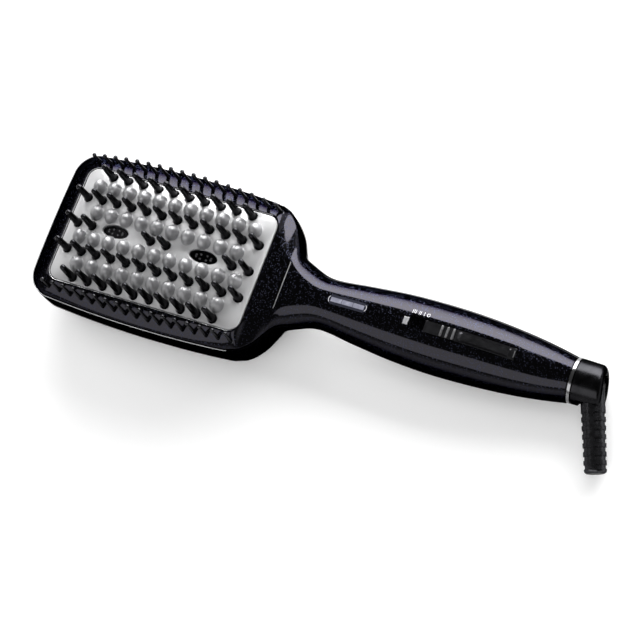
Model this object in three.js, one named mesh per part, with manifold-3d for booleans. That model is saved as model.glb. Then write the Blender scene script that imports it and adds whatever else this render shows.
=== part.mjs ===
// Heated styling brush: a square paddle head with a heated plate, and a slim handle
// with a slide switch and a swivelling cord outlet. It lies on its back, bristles up.
// Millimetres. The origin is on the flat of the back, under the middle of the plate.
// +X runs from the head to the cord, +Y across the head, +Z up through the bristles.

import * as THREE from 'three';
import { mergeVertices } from 'three/addons/utils/BufferGeometryUtils.js';
import Module from 'manifold-3d';

const wasm = await Module();
wasm.setup();

// Clearances between separate pieces
const SEAT_GAP = 0.3;            // between two pieces that rest on each other
const PART_GAP = 0.3;            // along the parting line of the housing halves
const SEAM_GAP = 0.4;            // between the head's frame and the handle shell
const PLATE_GAP = 0.4;           // round the heated plate
const PIN_GAP = 0.35;            // round a pin in its hole
const SLIDE_GAP = 0.3;           // beside the slide switch
const TURN_GAP = 0.4;            // round the turning cord outlet
const CUT_MARGIN = 1;            // how far a cutting body reaches past what it cuts
const SKY_HEIGHT = 2;            // cuts from the top start this far above the plate

// Heated plate
const PLATE_LENGTH = 103.4;
const PLATE_WIDTH = 59.9;
const PLATE_CORNER = 5.5;
const PLATE_THICK = 2;

// Pins and domes of the plate
const PIN_PITCH = 8.5;
const PIN_HEIGHT = 15.4;         // above the plate
const PIN_ROOT_RADIUS = 2.15;
const PIN_TIP_RADIUS = 1.35;
const PIN_TIP_ROUND = 0.9;
const ROW_SIDE_INSET = 2.95;     // outer rows inside the plate's sides
const ROW_CROWDING = 0.3;        // inner rows off the half way to the outer ones
const DOME_RADIUS = 3.4;
const DOME_HEIGHT = 5;
const PIN_END_INSET = 4.6;       // least distance from a row's last pin to the plate's end
const DOME_END_INSET = 8.8;      // the same for a row of domes
const ROW_STEP = 2;              // pins that a shorter row has less
const MIDDLE_END_PINS = 2;       // pins at each end of the middle row
const COMB_THICK = 2;            // bar that carries a row of pins
const COMB_WIDTH = 4.4;
const COMB_END = 2.4;            // bar beyond its last pin

// Ion outlets in the middle row
const ION_LENGTH = 13.5;
const ION_WIDTH = 6;
const ION_SHIFT = -2;            // middle of the pair, off the plate's middle
const ION_TO_END_PIN = 14.25;    // from an outlet to the end pin next to it
const ION_SUNK = 0.5;            // below the plate's face
const ION_RIM = 0.7;
const ION_FLOOR = 0.8;
const ION_STUD_RADIUS = 0.55;
const ION_STUD_HEIGHT = 0.5;
const ION_STUDS = 8;
const ION_STUD_END_INSET = 2.6;  // studs inside the oval's ends
const ION_STUD_SIDE_INSET = 1.75;

// Ball-tipped bristles on the frame
const EDGE_BRISTLES = 17;
const EDGE_PITCH = 6.2;
const EDGE_ROOT_INSET = 4.9;     // root inside the head's side
const EDGE_ROOT_DROP = 3.6;      // root below the plate's face
const EDGE_LEAN = 1;             // degrees, towards the plate
const EDGE_TOP = 12.8;           // middle ball above the plate's face
const EDGE_TOP_FALL = 5.7;       // how much lower the row's last balls are
const EDGE_ARCH = 2.5;           // 2 is a parabola, more is flatter in the middle
const EDGE_ROOT_RADIUS = 1.05;
const EDGE_TIP_RADIUS = 0.6;
const EDGE_BALL_RADIUS = 1.1;
const EDGE_HOLE_GAP = 0.3;
const EDGE_BAR_WIDTH = 2.8;
const EDGE_BAR_THICK = 2;
const EDGE_BAR_END = 1.1;
const EDGE_BAR_LIP = 0.1;        // bar outside its bristles

// Head
const HEAD_DEPTH = 38;           // from the back's flat to the plate's face
const BAND_SIDE = 10.65;         // frame beside the plate
const BAND_FAR = 11.5;           // frame at the far end
const BAND_NECK = 9.9;           // frame at the handle's end
const FRAME_DROP = 6;            // fall of the frame from the plate to its edge
const FRAME_LIP = 0.6;           // level lip round the plate
const COLLAR_WALL = 1.6;         // collar round the plate's opening
const FRAME_BULGE = 1.2;         // 1 is a straight slope, 2 is a quarter ellipse
const HEAD_CORNER = 13;
const SIDE_BOW = 2.3;            // how much the long sides bulge at the middle
const END_BOW = 0.5;
const BACK_ROUND = 18;           // rounding from the sides to the back
const BACK_FLAT_CORNER = 6;
const WALL = 1.8;
const RIM = 0.5;                 // upright edge along the parting line

// Handle: distance from the head's seam, half width, middle height, half height
const HANDLE_LENGTH = 144.4;
const HANDLE_FORM = [
  [0.1524, 12.9, 20.7, 11.6],
  [0.2632, 14.7, 19.4, 13.2],
  [0.4017, 16.8, 17.9, 14.9],
  [0.5402, 17.6, 16.4, 15.6],
  [0.6787, 17.1, 15.5, 15.1],
  [0.8172, 15.5, 13.9, 13.5],
  [0.9211, 13.4, 12.9, 11.9],
  [1, 11.2, 12.2, 11.2],
];
const HANDLE_SECTIONS = 11;
const RIDGE = 0.5;               // level strip along the handle's top and back
const SEAM_TOP_DROP = 6;         // the seam's height below the plate's face

// Shoulder: distance from the seam, then how far the width, the level top's width and
// the heights have gone from the neck (0) to the head (1)
const SHOULDER_FORM = [
  [16.5, 0.014, 0.05, 0.015],
  [11.5, 0.068, 0.13, 0.077],
  [8, 0.114, 0.2, 0.162],
  [5, 0.157, 0.27, 0.284],
  [2.5, 0.246, 0.335, 0.453],
  [0, 0.42, 0.4, 0.615],
  [-3, 0.626, 0.485, 0.75],
  [-6.5, 0.779, 0.61, 0.85],
  [-8.5, 0.836, 0.72, 0.89],
  [-9.6, 0.861, 0.82, 0.908],
  [-11, 0.879, 0.925, 0.92],
  [-13, 0.904, 0.985, 0.932],
  [-16, 0.932, 1, 0.945],
];

// Handle end and cord outlet
const END_WALL = 3.3;
const RING_WIDTH = 2.2;
const RING_RADIUS = 11.1;
const RING_EDGE = 0.3;
const STEM_RADIUS = 6;
const STEM_BORE = 3;
const FLANGE_RADIUS = 7.9;
const FLANGE_THICK = 3.4;
const SLIP_SEAT_RADIUS = 4.6;
const SLIP_SEAT_LENGTH = 9.4;
const SLIP_RING_WALL = 1.2;
const SLIP_RING_WIDTH = 3;
const SLIP_RING_INSET = 1;       // first ring from the stem's end
const SLIP_RING_SPACE = 1.4;     // between the two rings
const CAP_RADIUS = 11;
const CAP_LENGTH = 14.3;
const CAP_ROUND = 3;
const CAP_DRAFT = 0.3;
const CAP_SLANT = 3;             // how much shorter the cap is opposite the sleeve
const PIVOT_INSET = 6.5;         // pivot behind the cap's front edge
const CAP_ROLL = 8.2;            // degrees, how the outlet is turned at rest
const SLEEVE_REST = 70.5;        // degrees between the handle and the sleeve at rest
const SLEEVE_MOST = 80;          // degrees, the sleeve's sharpest bend
const SLEEVE_LENGTH = 41;        // from the pivot
const SLEEVE_ROOT_RADIUS = 5.6;
const SLEEVE_TIP_RADIUS = 5;
const SLEEVE_COLLAR = 13;        // smooth part, from the pivot
const SLEEVE_CHEEK = 10.8;       // thickness at the pivot
const SLEEVE_BORE = 1.9;
const SLEEVE_TIP_ROUND = 1.6;
const GROOVE_COUNT = 7;
const GROOVE_PITCH = 4;
const GROOVE_WIDTH = 2;
const GROOVE_DEPTH = 0.9;
const SPINE_WIDTH = 2;           // uncut strip along the sleeve's front and back
const SLEEVE_SIDES = 16;
const PIVOT_PIN_RADIUS = 1.25;
const PIVOT_PIN_LENGTH = 17;
const PIVOT_PIN_GAP = 0.3;

// Slide switch on the handle's top
const SLOT_START = 66.4;         // from the seam
const SLOT_LENGTH = 52.2;
const SLOT_WIDTH = 6.4;
const SLOT_DEPTH = 1.6;          // at the slot's ends
const TRACK_WALL = 1.5;
const SLIDER_LENGTH = 44.4;
const SLIDER_TRAVEL = 7.5;
const SLIDER_SUNK = 0.15;        // below the handle's top
const RIB_COUNT = 3;
const RIB_PITCH = 2.7;
const RIB_WIDTH = 1.1;
const RIB_HEIGHT = 0.7;
const RIB_INSET = 8.6;           // first rib from the slider's front
const PANEL_INSET = 16.6;        // raised panel from the slider's front
const PANEL_LENGTH = 25.4;
const PANEL_HEIGHT = 0.5;
const PANEL_START_SLOPE = 2;
const PANEL_END_SLOPE = 1;
const LEVER_INSET = 14;          // lever from the slider's front
const LEVER_LENGTH = 6;
const LEVER_WIDTH = 1.6;
const LEVER_DIP = 1.2;           // lever tip inside the switch
const MARKER_LENGTH = 3.3;
const MARKER_WIDTH = 3.5;
const MARKER_THICK = 1;
const MARKER_BRIDGE = 0.3;       // shell between the marker and the slot

// Light window on the neck
const LIGHT_START = 24.7;        // from the seam
const LIGHT_LENGTH = 20.3;
const LIGHT_WIDTH = 4.8;
const LIGHT_GUIDE_DEPTH = 4;
const LIGHT_PIPE_RADIUS = 1.2;
const LIGHT_COUNT = 3;
const LIGHT_PITCH = 5.8;
const LIGHT_CHIP = 1.8;
const LIGHT_CHIP_HEIGHT = 1;

// Inside the head
const TRAY_END_INSET = 2.7;      // inside the plate's ends
const TRAY_SIDE_INSET = 2.95;    // inside the plate's sides
const TRAY_THICK = 2;
const TRAY_CORNER = 4;
const TRAY_RIB_WIDTH = 3;
const HEATER_LENGTH = 60;
const HEATER_WIDTH = 8;
const HEATER_THICK = 4;
const PLATE_BOSS_RADIUS = 2.6;
const PLATE_BOSS_INSET = 5.5;    // inside the tray's ends
const PLATE_BOSS_HOLE = 1.3;
const SCREW_RADIUS = 1;
const SCREW_LENGTH = 5.5;
const SCREW_HEAD_RADIUS = 2.3;
const SCREW_HEAD_HEIGHT = 1.5;
const FUSE_RADIUS = 1.8;
const FUSE_LENGTH = 12;
const FUSE_SADDLE_WIDTH = 2;
const SENSOR_LENGTH = 10;
const SENSOR_WIDTH = 6;
const TRAY_POST_RADIUS = 3;
const TRAY_POST_X = 30;
const TRAY_POST_Y = 14;
const PLATE_LEDGE = 2;           // ledge under the plate's ends
const PLATE_LEDGE_THICK = 2;
const PLATE_LEDGE_WIDTH = 44;

// Inside the handle
const BOARD_START = 26;          // from the seam
const BOARD_END_GAP = 22.4;      // to the handle's end
const BOARD_WIDTH = 17;
const BOARD_THICK = 1.6;
const BOARD_HEIGHT = 19;         // underside above the back's flat
const BOARD_POST_RADIUS = 2.4;
const BOARD_POST_INSET = 6;
const SWITCH_BODY_LENGTH = 24;
const SWITCH_BODY_WIDTH = 9;
const SWITCH_BODY_HEIGHT = 4.3;
const ION_BOX_START = 20;        // from the board's front
const ION_BOX_LENGTH = 24;
const ION_BOX_WIDTH = 14;
const ION_BOX_HEIGHT = 8;
const CONTACT_BLOCK_THICK = 1.5;
const CONTACT_BLOCK_WIDTH = 6;

// Levels and places that follow from the sizes
const TRAY_LENGTH = PLATE_LENGTH - 2 * TRAY_END_INSET;
const TRAY_WIDTH = PLATE_WIDTH - 2 * TRAY_SIDE_INSET;
const PLATE_BOSS_X = TRAY_LENGTH / 2 - PLATE_BOSS_INSET;
const BOARD_LENGTH = HANDLE_LENGTH - BOARD_START - BOARD_END_GAP;
const PLATE_TOP = HEAD_DEPTH;
const PLATE_UNDER = PLATE_TOP - PLATE_THICK;
const COMB_TOP = PLATE_UNDER - SEAT_GAP;
const COMB_UNDER = COMB_TOP - COMB_THICK;
const TRAY_TOP = COMB_TOP - HEATER_THICK - SEAT_GAP;
const TRAY_UNDER = TRAY_TOP - TRAY_THICK;
const OPENING_HALF_LENGTH = PLATE_LENGTH / 2 + PLATE_GAP;
const OPENING_HALF_WIDTH = PLATE_WIDTH / 2 + PLATE_GAP;
const OPENING_CORNER = PLATE_CORNER + PLATE_GAP;
const HEAD_HALF = OPENING_HALF_WIDTH + BAND_SIDE;
const FAR_X = -(OPENING_HALF_LENGTH + BAND_FAR);
const SEAM_X = OPENING_HALF_LENGTH + BAND_NECK;
const END_X = SEAM_X + HANDLE_LENGTH;
const FRAME_EDGE_Z = PLATE_TOP - FRAME_DROP;
const SEAM_TOP = PLATE_TOP - SEAM_TOP_DROP;
const NECK_FORM = HANDLE_FORM[0];
const END_FORM = HANDLE_FORM[HANDLE_FORM.length - 1];
const NECK_S = NECK_FORM[0] * HANDLE_LENGTH;
const AXIS_Z = END_FORM[2];

const root = new THREE.Group();

function finish(colour, roughness, metalness) {
  return new THREE.MeshStandardMaterial({ color: colour, roughness, metalness });
}

const NAVY_GLOSS = () => finish(0x0d0f18, 0.16, 0.1);
const BLACK_PLASTIC = () => finish(0x0b0b0c, 0.45, 0);
const BLACK_RUBBER = () => finish(0x0a0a0a, 0.7, 0);
const PLATE_METAL = () => finish(0xc9cacd, 0.28, 0.7);
const CHROME = () => finish(0xe6e7e9, 0.08, 1);

// A closed geometry as a solid that can be joined and cut
function solid(geometry) {
  const bare = geometry.clone();
  bare.deleteAttribute('normal');
  bare.deleteAttribute('uv');
  const merged = mergeVertices(bare, 1e-4);
  const corners = merged.index.array;
  const places = merged.attributes.position.array;
  const kept = [];
  let volume = 0;
  const a = new THREE.Vector3();
  const b = new THREE.Vector3();
  const c = new THREE.Vector3();
  for (let i = 0; i < corners.length; i += 3) {
    const [p, q, r] = [corners[i], corners[i + 1], corners[i + 2]];
    if (p === q || q === r || r === p) {
      continue;
    }
    kept.push(p, q, r);
    a.fromArray(places, 3 * p);
    b.fromArray(places, 3 * q);
    c.fromArray(places, 3 * r);
    volume += a.dot(b.cross(c));
  }
  if (volume < 0) {
    kept.reverse();
  }
  return new wasm.Manifold(new wasm.Mesh({
    numProp: 3,
    vertProperties: new Float32Array(places),
    triVerts: new Uint32Array(kept),
  }));
}

function geometryOf(body) {
  const mesh = body.getMesh();
  const geometry = new THREE.BufferGeometry();
  const places = new Float32Array(mesh.vertProperties);
  geometry.setAttribute('position', new THREE.BufferAttribute(places, 3));
  geometry.setIndex(new THREE.BufferAttribute(new Uint32Array(mesh.triVerts), 1));
  geometry.computeVertexNormals();
  return geometry;
}

function addPiece(name, body, material, parent = root) {
  const mesh = new THREE.Mesh(geometryOf(body), material);
  mesh.name = name;
  parent.add(mesh);
  return mesh;
}

function joined(bodies) {
  return bodies.reduce((sum, body) => sum.add(body));
}

function box(x0, x1, y0, y1, z0, z1) {
  const geometry = new THREE.BoxGeometry(x1 - x0, y1 - y0, z1 - z0);
  geometry.translate((x0 + x1) / 2, (y0 + y1) / 2, (z0 + z1) / 2);
  return solid(geometry);
}

// A round bar along Z
function upright(radius, z0, z1, x, y, sides) {
  const geometry = new THREE.CylinderGeometry(radius, radius, z1 - z0, sides);
  geometry.rotateX(Math.PI / 2);
  geometry.translate(x, y, (z0 + z1) / 2);
  return solid(geometry);
}

// A round bar along X
function lengthwise(radius, x0, x1, y, z, sides) {
  const geometry = new THREE.CylinderGeometry(radius, radius, x1 - x0, sides);
  geometry.rotateZ(-Math.PI / 2);
  geometry.translate((x0 + x1) / 2, y, z);
  return solid(geometry);
}

// A turned piece about X from [radius, x] points
function turned(profile, sides) {
  const points = profile.map(([radius, x]) => new THREE.Vector2(radius, x));
  const geometry = new THREE.LatheGeometry(points, sides);
  geometry.rotateZ(-Math.PI / 2);
  return solid(geometry);
}

// A turned piece about Z from [radius, z] points
function turnedUp(profile, sides) {
  const points = profile.map(([radius, z]) => new THREE.Vector2(radius, z));
  const geometry = new THREE.LatheGeometry(points, sides);
  geometry.rotateX(Math.PI / 2);
  return solid(geometry);
}

function roundedOutline(halfLength, halfWidth, corner) {
  const shape = new THREE.Shape();
  const x = halfLength - corner;
  const y = halfWidth - corner;
  shape.absarc(x, y, corner, 0, Math.PI / 2);
  shape.absarc(-x, y, corner, Math.PI / 2, Math.PI);
  shape.absarc(-x, -y, corner, Math.PI, 1.5 * Math.PI);
  shape.absarc(x, -y, corner, 1.5 * Math.PI, 2 * Math.PI);
  return shape;
}

// An outline in plan raised from z0 to z1
function slab(shape, z0, z1, segments, x = 0) {
  const options = { depth: z1 - z0, bevelEnabled: false, curveSegments: segments };
  const geometry = new THREE.ExtrudeGeometry(shape, options);
  geometry.translate(x, 0, z0);
  return solid(geometry);
}

// A side-view outline of [x, z] points, spread across the width
function sideSlab(points, halfWidth) {
  const shape = new THREE.Shape(points.map(([x, z]) => new THREE.Vector2(x, z)));
  const options = { depth: 2 * halfWidth, bevelEnabled: false };
  const geometry = new THREE.ExtrudeGeometry(shape, options);
  geometry.rotateX(Math.PI / 2);
  geometry.translate(0, halfWidth, 0);
  return solid(geometry);
}

function mix(from, to, share) {
  return from + (to - from) * share;
}

// Smooth value of one column of a table whose first column rises or falls
function smooth(table, column, s) {
  const rising = table[table.length - 1][0] > table[0][0];
  const rows = rising ? table : [...table].reverse();
  const last = rows.length - 1;
  const at = Math.min(Math.max(s, rows[0][0]), rows[last][0]);
  let k = 0;
  while (k < last - 1 && at > rows[k + 1][0]) {
    k += 1;
  }
  const slope = (i) => {
    const lo = rows[Math.max(i - 1, 0)];
    const hi = rows[Math.min(i + 1, last)];
    return (hi[column] - lo[column]) / (hi[0] - lo[0]);
  };
  const [p, q] = [rows[k], rows[k + 1]];
  const width = q[0] - p[0];
  const t = (at - p[0]) / width;
  const [t2, t3] = [t * t, t * t * t];
  return (2 * t3 - 3 * t2 + 1) * p[column] + (t3 - 2 * t2 + t) * width * slope(k)
    + (3 * t2 - 2 * t3) * q[column] + (t3 - t2) * width * slope(k + 1);
}

// The handle's section at a distance from the seam, drawn in by a wall
function handleStation(s, wall) {
  const share = s / HANDLE_LENGTH;
  const half = smooth(HANDLE_FORM, 1, share) - wall;
  const middle = smooth(HANDLE_FORM, 2, share);
  const high = smooth(HANDLE_FORM, 3, share) - wall;
  const x = SEAM_X + s;
  return {
    side: [x, half],
    crown: [x, RIDGE],
    back: [x, RIDGE],
    crownZ: middle + high,
    edgeZ: middle + RIM / 2,
    turnZ: middle - RIM / 2,
    backZ: middle - high,
    bulge: 2,
  };
}

// The level part of the handle-end frame slopes down to the seam
function shoulderTop(s, neckTop) {
  if (s >= 0) {
    return mix(SEAM_TOP, neckTop, s / NECK_S);
  }
  return Math.min(PLATE_TOP, mix(SEAM_TOP, PLATE_TOP, -s / BAND_NECK));
}

function shoulderStation(row, wall) {
  const [s, widthShare, crownShare, heightShare] = row;
  const neck = handleStation(NECK_S, 0);
  const x = SEAM_X + s;
  const half = mix(neck.side[1], HEAD_HALF, widthShare) - wall;
  const crown = mix(RIDGE, OPENING_HALF_WIDTH + FRAME_LIP, crownShare);
  const backFlat = mix(RIDGE, HEAD_HALF - BACK_ROUND, widthShare);
  return {
    side: [x, half],
    crown: [x, Math.min(crown, half - RIDGE)],
    back: [x, backFlat],
    crownZ: shoulderTop(s, neck.crownZ) - wall,
    edgeZ: mix(neck.edgeZ, FRAME_EDGE_Z, heightShare) - wall / 2,
    turnZ: mix(neck.turnZ, BACK_ROUND, heightShare),
    backZ: mix(neck.backZ, 0, heightShare) + wall,
    bulge: mix(2, FRAME_BULGE, Math.min(1 - s / NECK_S, 1)),
  };
}

function sideHalf(x) {
  return HEAD_HALF - SIDE_BOW * (x / OPENING_HALF_LENGTH) ** 2;
}

// Half outline of a rounded end: along the side, round the corner, to the middle
function farOutline(farX, halfAt, corner, bow, steps) {
  const cornerX = farX + bow + corner;
  const cornerY = halfAt(cornerX) - corner;
  const points = [];
  for (let i = 0; i <= steps.side; i += 1) {
    const x = mix(0, cornerX, i / steps.side);
    points.push([x, halfAt(x)]);
  }
  for (let i = 1; i <= steps.corner; i += 1) {
    const angle = (i / steps.corner) * Math.PI / 2;
    points.push([cornerX - corner * Math.sin(angle), cornerY + corner * Math.cos(angle)]);
  }
  for (let i = 1; i <= steps.end; i += 1) {
    const y = mix(cornerY, 0, i / steps.end);
    points.push([farX + bow * (y / cornerY) ** 2, y]);
  }
  return points;
}

function headStations(wall, steps) {
  const lip = OPENING_HALF_LENGTH + FRAME_LIP;
  const crownHalf = OPENING_HALF_WIDTH + FRAME_LIP;
  const flatHalf = HEAD_HALF - BACK_ROUND;
  const side = farOutline(FAR_X + wall, (x) => sideHalf(x) - wall, HEAD_CORNER - wall, END_BOW, steps);
  const crown = farOutline(-lip, () => crownHalf, OPENING_CORNER + FRAME_LIP, 0, steps);
  const back = farOutline(FAR_X + BACK_ROUND, () => flatHalf, BACK_FLAT_CORNER, 0, steps);
  return side.map((place, i) => ({
    side: place,
    crown: crown[i],
    back: back[i],
    crownZ: PLATE_TOP - wall,
    edgeZ: FRAME_EDGE_Z - wall / 2,
    turnZ: BACK_ROUND,
    backZ: wall,
    bulge: FRAME_BULGE,
  }));
}

function bodyStations(wall, endInset, steps) {
  const stations = [];
  const last = HANDLE_LENGTH - endInset;
  for (let i = 0; i <= HANDLE_SECTIONS; i += 1) {
    stations.push(handleStation(mix(last, NECK_S, i / HANDLE_SECTIONS), wall));
  }
  for (const row of SHOULDER_FORM) {
    stations.push(shoulderStation(row, wall));
  }
  return stations.concat(headStations(wall, steps));
}

// One side of a section, from the edge of its level top down to its level back
function sectionPoints(station, arcSteps) {
  const points = [];
  const blend = (from, share) => [
    mix(from[0], station.side[0], share),
    mix(from[1], station.side[1], share),
  ];
  const power = 2 / station.bulge;
  for (let k = 0; k <= arcSteps; k += 1) {
    const angle = (k / arcSteps) * Math.PI / 2;
    const z = mix(station.edgeZ, station.crownZ, Math.cos(angle) ** power);
    points.push([...blend(station.crown, Math.sin(angle) ** power), z]);
  }
  for (let k = 0; k <= arcSteps; k += 1) {
    const angle = (k / arcSteps) * Math.PI / 2;
    const z = mix(station.turnZ, station.backZ, Math.sin(angle));
    points.push([...blend(station.back, Math.cos(angle)), z]);
  }
  return points;
}

// The whole body's outer form, or its hollow when a wall is given
function bodyForm(wall, endInset, arcSteps, steps) {
  const stations = bodyStations(wall, endInset, steps);
  const sides = stations.map((station) => sectionPoints(station, arcSteps));
  const rings = sides.length;
  const count = sides[0].length;
  const places = [];
  const left = [];
  const right = [];
  for (let i = 0; i < rings; i += 1) {
    left.push([]);
    right.push([]);
    for (const [x, y, z] of sides[i]) {
      left[i].push(places.length / 3);
      places.push(x, y, z);
    }
    for (let k = 0; k < count; k += 1) {
      if (i === rings - 1) {
        right[i].push(left[i][k]);
        continue;
      }
      right[i].push(places.length / 3);
      places.push(sides[i][k][0], -sides[i][k][1], sides[i][k][2]);
    }
  }
  const corners = [];
  const four = (a, b, c, d) => corners.push(a, b, c, a, c, d);
  const [top, bottom] = [0, count - 1];
  for (let i = 0; i < rings - 1; i += 1) {
    for (let k = 0; k < count - 1; k += 1) {
      four(left[i][k], left[i][k + 1], left[i + 1][k + 1], left[i + 1][k]);
      four(right[i][k], right[i + 1][k], right[i + 1][k + 1], right[i][k + 1]);
    }
    four(left[i][top], left[i + 1][top], right[i + 1][top], right[i][top]);
    four(left[i][bottom], right[i][bottom], right[i + 1][bottom], left[i + 1][bottom]);
  }
  for (let k = 0; k < count - 1; k += 1) {
    four(left[0][k], right[0][k], right[0][k + 1], left[0][k + 1]);
  }
  const geometry = new THREE.BufferGeometry();
  geometry.setAttribute('position', new THREE.Float32BufferAttribute(places, 3));
  geometry.setIndex(corners);
  return solid(geometry);
}

const OUTER_STEPS = { side: 2, corner: 5, end: 2 };
const INNER_STEPS = { side: 2, corner: 3, end: 1 };
const outerBody = bodyForm(0, 0, 5, OUTER_STEPS);
const hollow = bodyForm(WALL, END_WALL, 3, INNER_STEPS);
const shell = outerBody.subtract(hollow);

// Height of the handle's top at a place along X
function handleTop(x) {
  return handleStation(x - SEAM_X, 0).crownZ;
}

// Everything above the parting line between two places along X
function abovePartingLine(x0, x1, lift) {
  const line = bodyStations(0, 0, OUTER_STEPS)
    .map((station) => [station.side[0], station.edgeZ - RIM / 2 + lift])
    .filter(([x]) => x > 0);
  const height = (x) => {
    let k = 0;
    while (k < line.length - 2 && line[k + 1][0] > x) {
      k += 1;
    }
    const [p, q] = [line[k], line[k + 1]];
    return mix(p[1], q[1], (x - p[0]) / (q[0] - p[0]));
  };
  const inner = line.filter(([x]) => x > x0 && x < x1);
  const edgeZ = FRAME_EDGE_Z - RIM / 2 + lift;
  const start = x0 < 0 ? edgeZ : height(x0);
  const endZ = x1 > END_X ? line[0][1] : height(x1);
  const sky = PLATE_TOP + PIN_HEIGHT;
  const outline = [[x1, sky], [x1, endZ], ...inner, [x0, start], [x0, sky]];
  return sideSlab(outline, 2 * HEAD_HALF);
}

// The head's frame, with the opening for the plate
function headFrame() {
  const above = abovePartingLine(2 * FAR_X, SEAM_X - SEAM_GAP / 2, PART_GAP / 2);
  const opening = roundedOutline(OPENING_HALF_LENGTH, OPENING_HALF_WIDTH, OPENING_CORNER);
  const collar = roundedOutline(
    OPENING_HALF_LENGTH + COLLAR_WALL,
    OPENING_HALF_WIDTH + COLLAR_WALL,
    OPENING_CORNER + COLLAR_WALL,
  );
  const ledgeTop = PLATE_UNDER - SEAT_GAP;
  const ledgeUnder = ledgeTop - PLATE_LEDGE_THICK;
  const ledgeInner = OPENING_HALF_LENGTH - PLATE_GAP - PLATE_LEDGE;
  const half = PLATE_LEDGE_WIDTH / 2;
  const wall = slab(collar, ledgeUnder, PLATE_TOP, 4).intersect(outerBody);
  const cut = slab(opening, 0, PLATE_TOP + CUT_MARGIN, 4);
  const ledges = [-1, 1].map((end) => {
    const xs = [end * ledgeInner, end * (OPENING_HALF_LENGTH + COLLAR_WALL / 2)];
    return box(Math.min(...xs), Math.max(...xs), -half, half, ledgeUnder, ledgeTop);
  });
  return shell.intersect(above).add(wall).subtract(cut).add(joined(ledges));
}

const edgeLean = THREE.MathUtils.degToRad(EDGE_LEAN);
const EDGE_ROOT_Z = PLATE_TOP - EDGE_ROOT_DROP;
const EDGE_HALF_RUN = (EDGE_BRISTLES - 1) / 2 * EDGE_PITCH;

// The row of bristles and the bar that carries it follow the bow of the head's side
function edgeRootY(x) {
  return sideHalf(x) - EDGE_ROOT_INSET;
}

function edgeBarOuter(x) {
  return edgeRootY(x) + EDGE_ROOT_RADIUS + EDGE_BAR_LIP;
}

// Underside of the frame's slope above the bar's outer edge
function frameUnderside(x) {
  const crownHalf = OPENING_HALF_WIDTH + FRAME_LIP;
  const across = (edgeBarOuter(x) - crownHalf) / (sideHalf(x) - WALL - crownHalf);
  const fall = 1 - (1 - Math.min(across, 1) ** FRAME_BULGE) ** (1 / FRAME_BULGE);
  return mix(PLATE_TOP - WALL, FRAME_EDGE_Z - WALL / 2, fall);
}

const LOWEST_UNDERSIDE = Math.min(
  frameUnderside(0),
  frameUnderside(EDGE_HALF_RUN),
  FRAME_EDGE_Z - RIM,
);
const EDGE_BAR_TOP = LOWEST_UNDERSIDE - 2 * SEAT_GAP;
const EDGE_BAR_UNDER = EDGE_BAR_TOP - EDGE_BAR_THICK;

// One upright bristle or its hole, placed at the root and leaning towards the plate
function atEdgeRoot(body, x, side) {
  const lean = new THREE.Matrix4().makeRotationX(side * edgeLean);
  lean.setPosition(x, side * edgeRootY(x), EDGE_ROOT_Z);
  return body.transform(lean.elements);
}

function edgePlaces() {
  const places = [];
  for (let i = 0; i < EDGE_BRISTLES; i += 1) {
    places.push(-EDGE_HALF_RUN + i * EDGE_PITCH);
  }
  return places;
}

function edgeHoles(side) {
  const radius = EDGE_ROOT_RADIUS + EDGE_HOLE_GAP;
  const hole = upright(radius, -2 * WALL, 2 * WALL, 0, 0, 6);
  return joined(edgePlaces().map((x) => atEdgeRoot(hole, x, side)));
}

// A ball-tipped bristle; the tops of the row form an arch
function edgeBristle(x, side) {
  const foot = mix(EDGE_BAR_UNDER, EDGE_BAR_TOP, 0.4) - EDGE_ROOT_Z;
  const fall = EDGE_TOP_FALL * Math.abs(x / EDGE_HALF_RUN) ** EDGE_ARCH;
  const tip = (PLATE_TOP + EDGE_TOP - fall - EDGE_ROOT_Z) / Math.cos(edgeLean);
  const ball = EDGE_BALL_RADIUS;
  const bristle = turnedUp([
    [0, foot],
    [EDGE_ROOT_RADIUS, foot],
    [EDGE_TIP_RADIUS, tip - 1.8 * ball],
    [ball, tip - 1.1 * ball],
    [0.6 * ball, tip - 0.2 * ball],
    [0, tip],
  ], 6);
  return atEdgeRoot(bristle, x, side);
}

// A bar under the frame with its row of bristles
function edgeStrip(side) {
  const end = EDGE_HALF_RUN + EDGE_BAR_END;
  const places = edgePlaces();
  const stops = [-end, ...places, end];
  const outer = stops.map((x) => new THREE.Vector2(x, side * edgeBarOuter(x)));
  const inner = stops.map((x) => (
    new THREE.Vector2(x, side * (edgeBarOuter(x) - EDGE_BAR_WIDTH))
  ));
  const outline = new THREE.Shape([...outer, ...inner.reverse()]);
  const bar = slab(outline, EDGE_BAR_UNDER, EDGE_BAR_TOP, 1);
  return joined([bar, ...places.map((x) => edgeBristle(x, side))]);
}

const OUTER_ROW_Y = PLATE_WIDTH / 2 - ROW_SIDE_INSET;
const INNER_ROW_Y = OUTER_ROW_Y / 2 + ROW_CROWDING;
const INNER_DOME_Y = INNER_ROW_Y / 2;
const OUTER_DOME_Y = (INNER_ROW_Y + OUTER_ROW_Y) / 2;

// The rows take as many pins and domes as the plate is long enough for
const INNER_ROW_PINS = 2 * Math.floor((PLATE_LENGTH / 2 - PIN_END_INSET) / PIN_PITCH + 0.5);
const OUTER_ROW_PINS = INNER_ROW_PINS - ROW_STEP;
const LONG_DOME_ROW = 2 * Math.floor((PLATE_LENGTH / 2 - DOME_END_INSET) / PIN_PITCH) + 1;
const SHORT_DOME_ROW = INNER_ROW_PINS - ROW_STEP;

// Places of an even row, the pitch apart about the plate's middle
function evenRow(count) {
  const places = [];
  for (let i = 0; i < count; i += 1) {
    places.push((i - (count - 1) / 2) * PIN_PITCH);
  }
  return places;
}

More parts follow.
